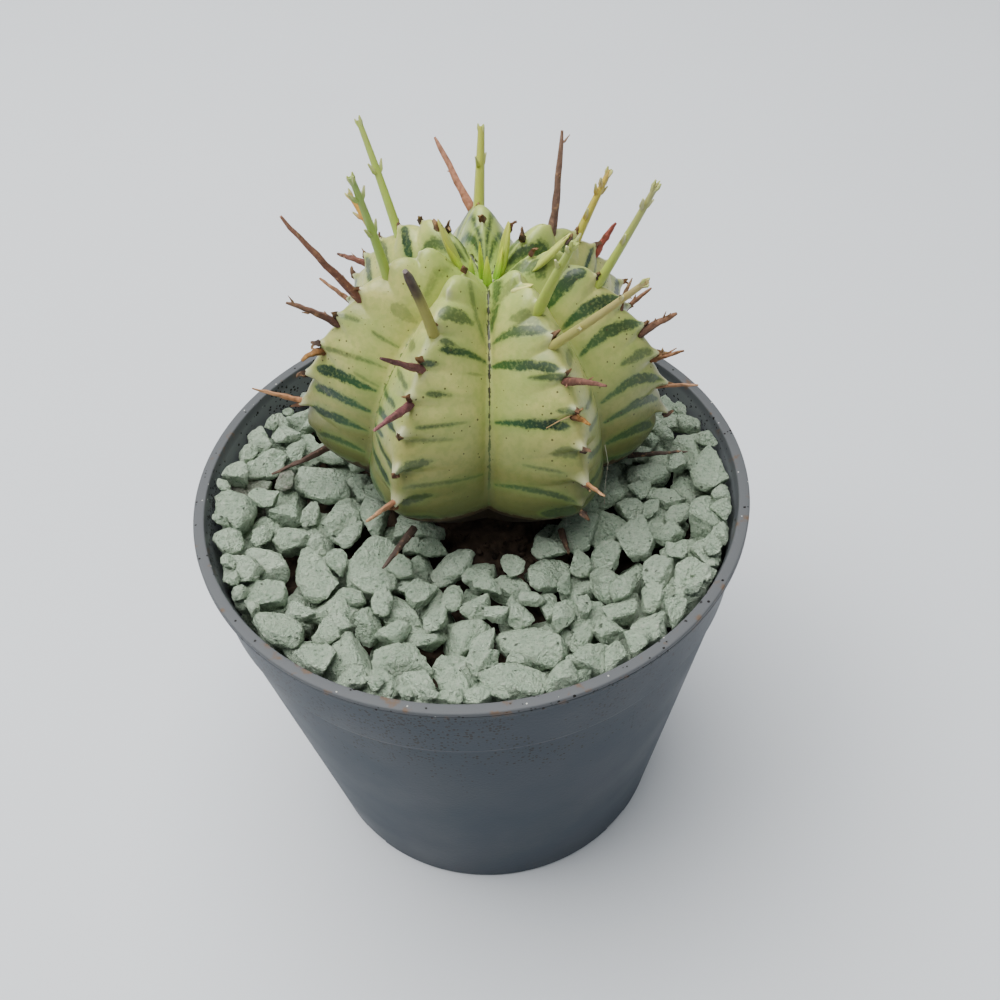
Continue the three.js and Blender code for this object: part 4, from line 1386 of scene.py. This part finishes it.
class SPURGE_OT_stage(bpy.types.Operator):
    """Lay the floor and set the lights and the camera"""

    bl_idname = "spurge.stage"
    bl_label = "Stage"

    def execute(self, context):
        settings = context.scene.spurge_stage
        deselect()
        bpy.ops.mesh.primitive_plane_add(size=30, location=(0, 0, 0))
        floor = context.object
        floor.name = "floor"
        floor.data.materials.append(floor_paint(settings.floor_colour))
        self.lights(settings)
        self.camera(context)
        return {"FINISHED"}

    def lights(self, settings):
        aims = [
            ("overhead", (-0.2, 0.1, 0.93), 1.2, settings.key_power),
            ("left", (-0.58, -0.1, 1.0), 0.6, settings.key_power * 0.14),
            ("front", (0.3, -0.8, 0.7), 0.6, settings.key_power * 0.03),
        ]
        for name, place, size, power in aims:
            lamp = bpy.data.lights.new(name, "AREA")
            lamp.shape = "DISK"
            lamp.size = size
            lamp.energy = power
            holder = new_object(name, lamp)
            holder.location = place
            look = Vector((0, 0, 0.07)) - Vector(place)
            holder.rotation_euler = look.to_track_quat("-Z", "Y").to_euler()
        world = bpy.data.worlds.new("Studio")
        world.use_nodes = True
        tree = world.node_tree
        back = tree.nodes["Background"].inputs
        back["Color"].default_value = linear("d6e0ea")
        # Brighter near the horizon, so that the board runs into it.
        sky = add_node(tree, "ShaderNodeTexCoord").outputs["Generated"]
        height = add_node(tree, "ShaderNodeSeparateXYZ", {0: sky}).outputs["Z"]
        strength = add_node(tree, "ShaderNodeMapRange", {0: height, 1: 0, 2: 0.3, 3: 0.72, 4: 0.27})
        tree.links.new(strength.outputs[0], back["Strength"])
        bpy.context.scene.world = world

    def camera(self, context):
        """Stands where the photograph was taken, looking down at the pot at about 47 degrees."""
        pitch, roll = math.radians(46.5916), math.radians(-3.402)
        forward = Vector((0, math.cos(pitch), -math.sin(pitch)))
        upward = Vector((0, math.sin(pitch), math.cos(pitch)))
        right = math.cos(roll) * Vector((1, 0, 0)) + math.sin(roll) * upward
        up = -math.sin(roll) * Vector((1, 0, 0)) + math.cos(roll) * upward
        # The rim's middle lies this far right of, above and before the lens, in rim radii.
        off = -0.10817 * right + 0.08033 * up + 3.9989 * forward
        stand = Vector((0, 0, POT_HEIGHT)) - RIM_RADIUS * off
        lens = bpy.data.cameras.new("camera")
        lens.sensor_width, lens.lens = 36, 39.6
        lens.clip_start, lens.clip_end = 0.01, 20
        camera = new_object("camera", lens)
        turn = Matrix((right, up, -forward)).transposed().to_4x4()
        camera.matrix_world = Matrix.Translation(stand * MM) @ turn
        context.scene.camera = camera


OPERATORS = (
    SPURGE_OT_pot, SPURGE_OT_soil, SPURGE_OT_chips, SPURGE_OT_body, SPURGE_OT_stalks, SPURGE_OT_scraps,
    SPURGE_OT_crown_leaves, SPURGE_OT_stage,
)
SETTINGS = {
    "spurge_pot": SpurgePotSettings,
    "spurge_chips": SpurgeChipSettings,
    "spurge_plant": SpurgePlantSettings,
    "spurge_stage": SpurgeStageSettings,
}


class VIEW3D_PT_spurge(bpy.types.Panel):
    """Lists the pieces of the potted spurge and their settings"""

    bl_label = "Potted melon spurge"
    bl_space_type = "VIEW_3D"
    bl_region_type = "UI"
    bl_category = "Spurge"

    def draw(self, context):
        layout = self.layout
        for name, group in SETTINGS.items():
            for key in group.__annotations__:
                layout.prop(getattr(context.scene, name), key)
        for operator in OPERATORS:
            layout.operator(operator.bl_idname)


CLASSES = (*SETTINGS.values(), *OPERATORS, VIEW3D_PT_spurge)


def register():
    for item in CLASSES:
        bpy.utils.register_class(item)
    for name, group in SETTINGS.items():
        setattr(bpy.types.Scene, name, bpy.props.PointerProperty(type=group))


def unregister():
    for name in SETTINGS:
        delattr(bpy.types.Scene, name)
    for item in reversed(CLASSES):
        bpy.utils.unregister_class(item)


def main():
    register()
    bpy.ops.spurge.stage()
    bpy.ops.spurge.pot()
    bpy.ops.spurge.soil()
    bpy.ops.spurge.chips()
    bpy.ops.spurge.body()
    bpy.ops.spurge.stalks()
    bpy.ops.spurge.scraps()
    bpy.ops.spurge.crown_leaves()


if __name__ == "__main__":
    main()
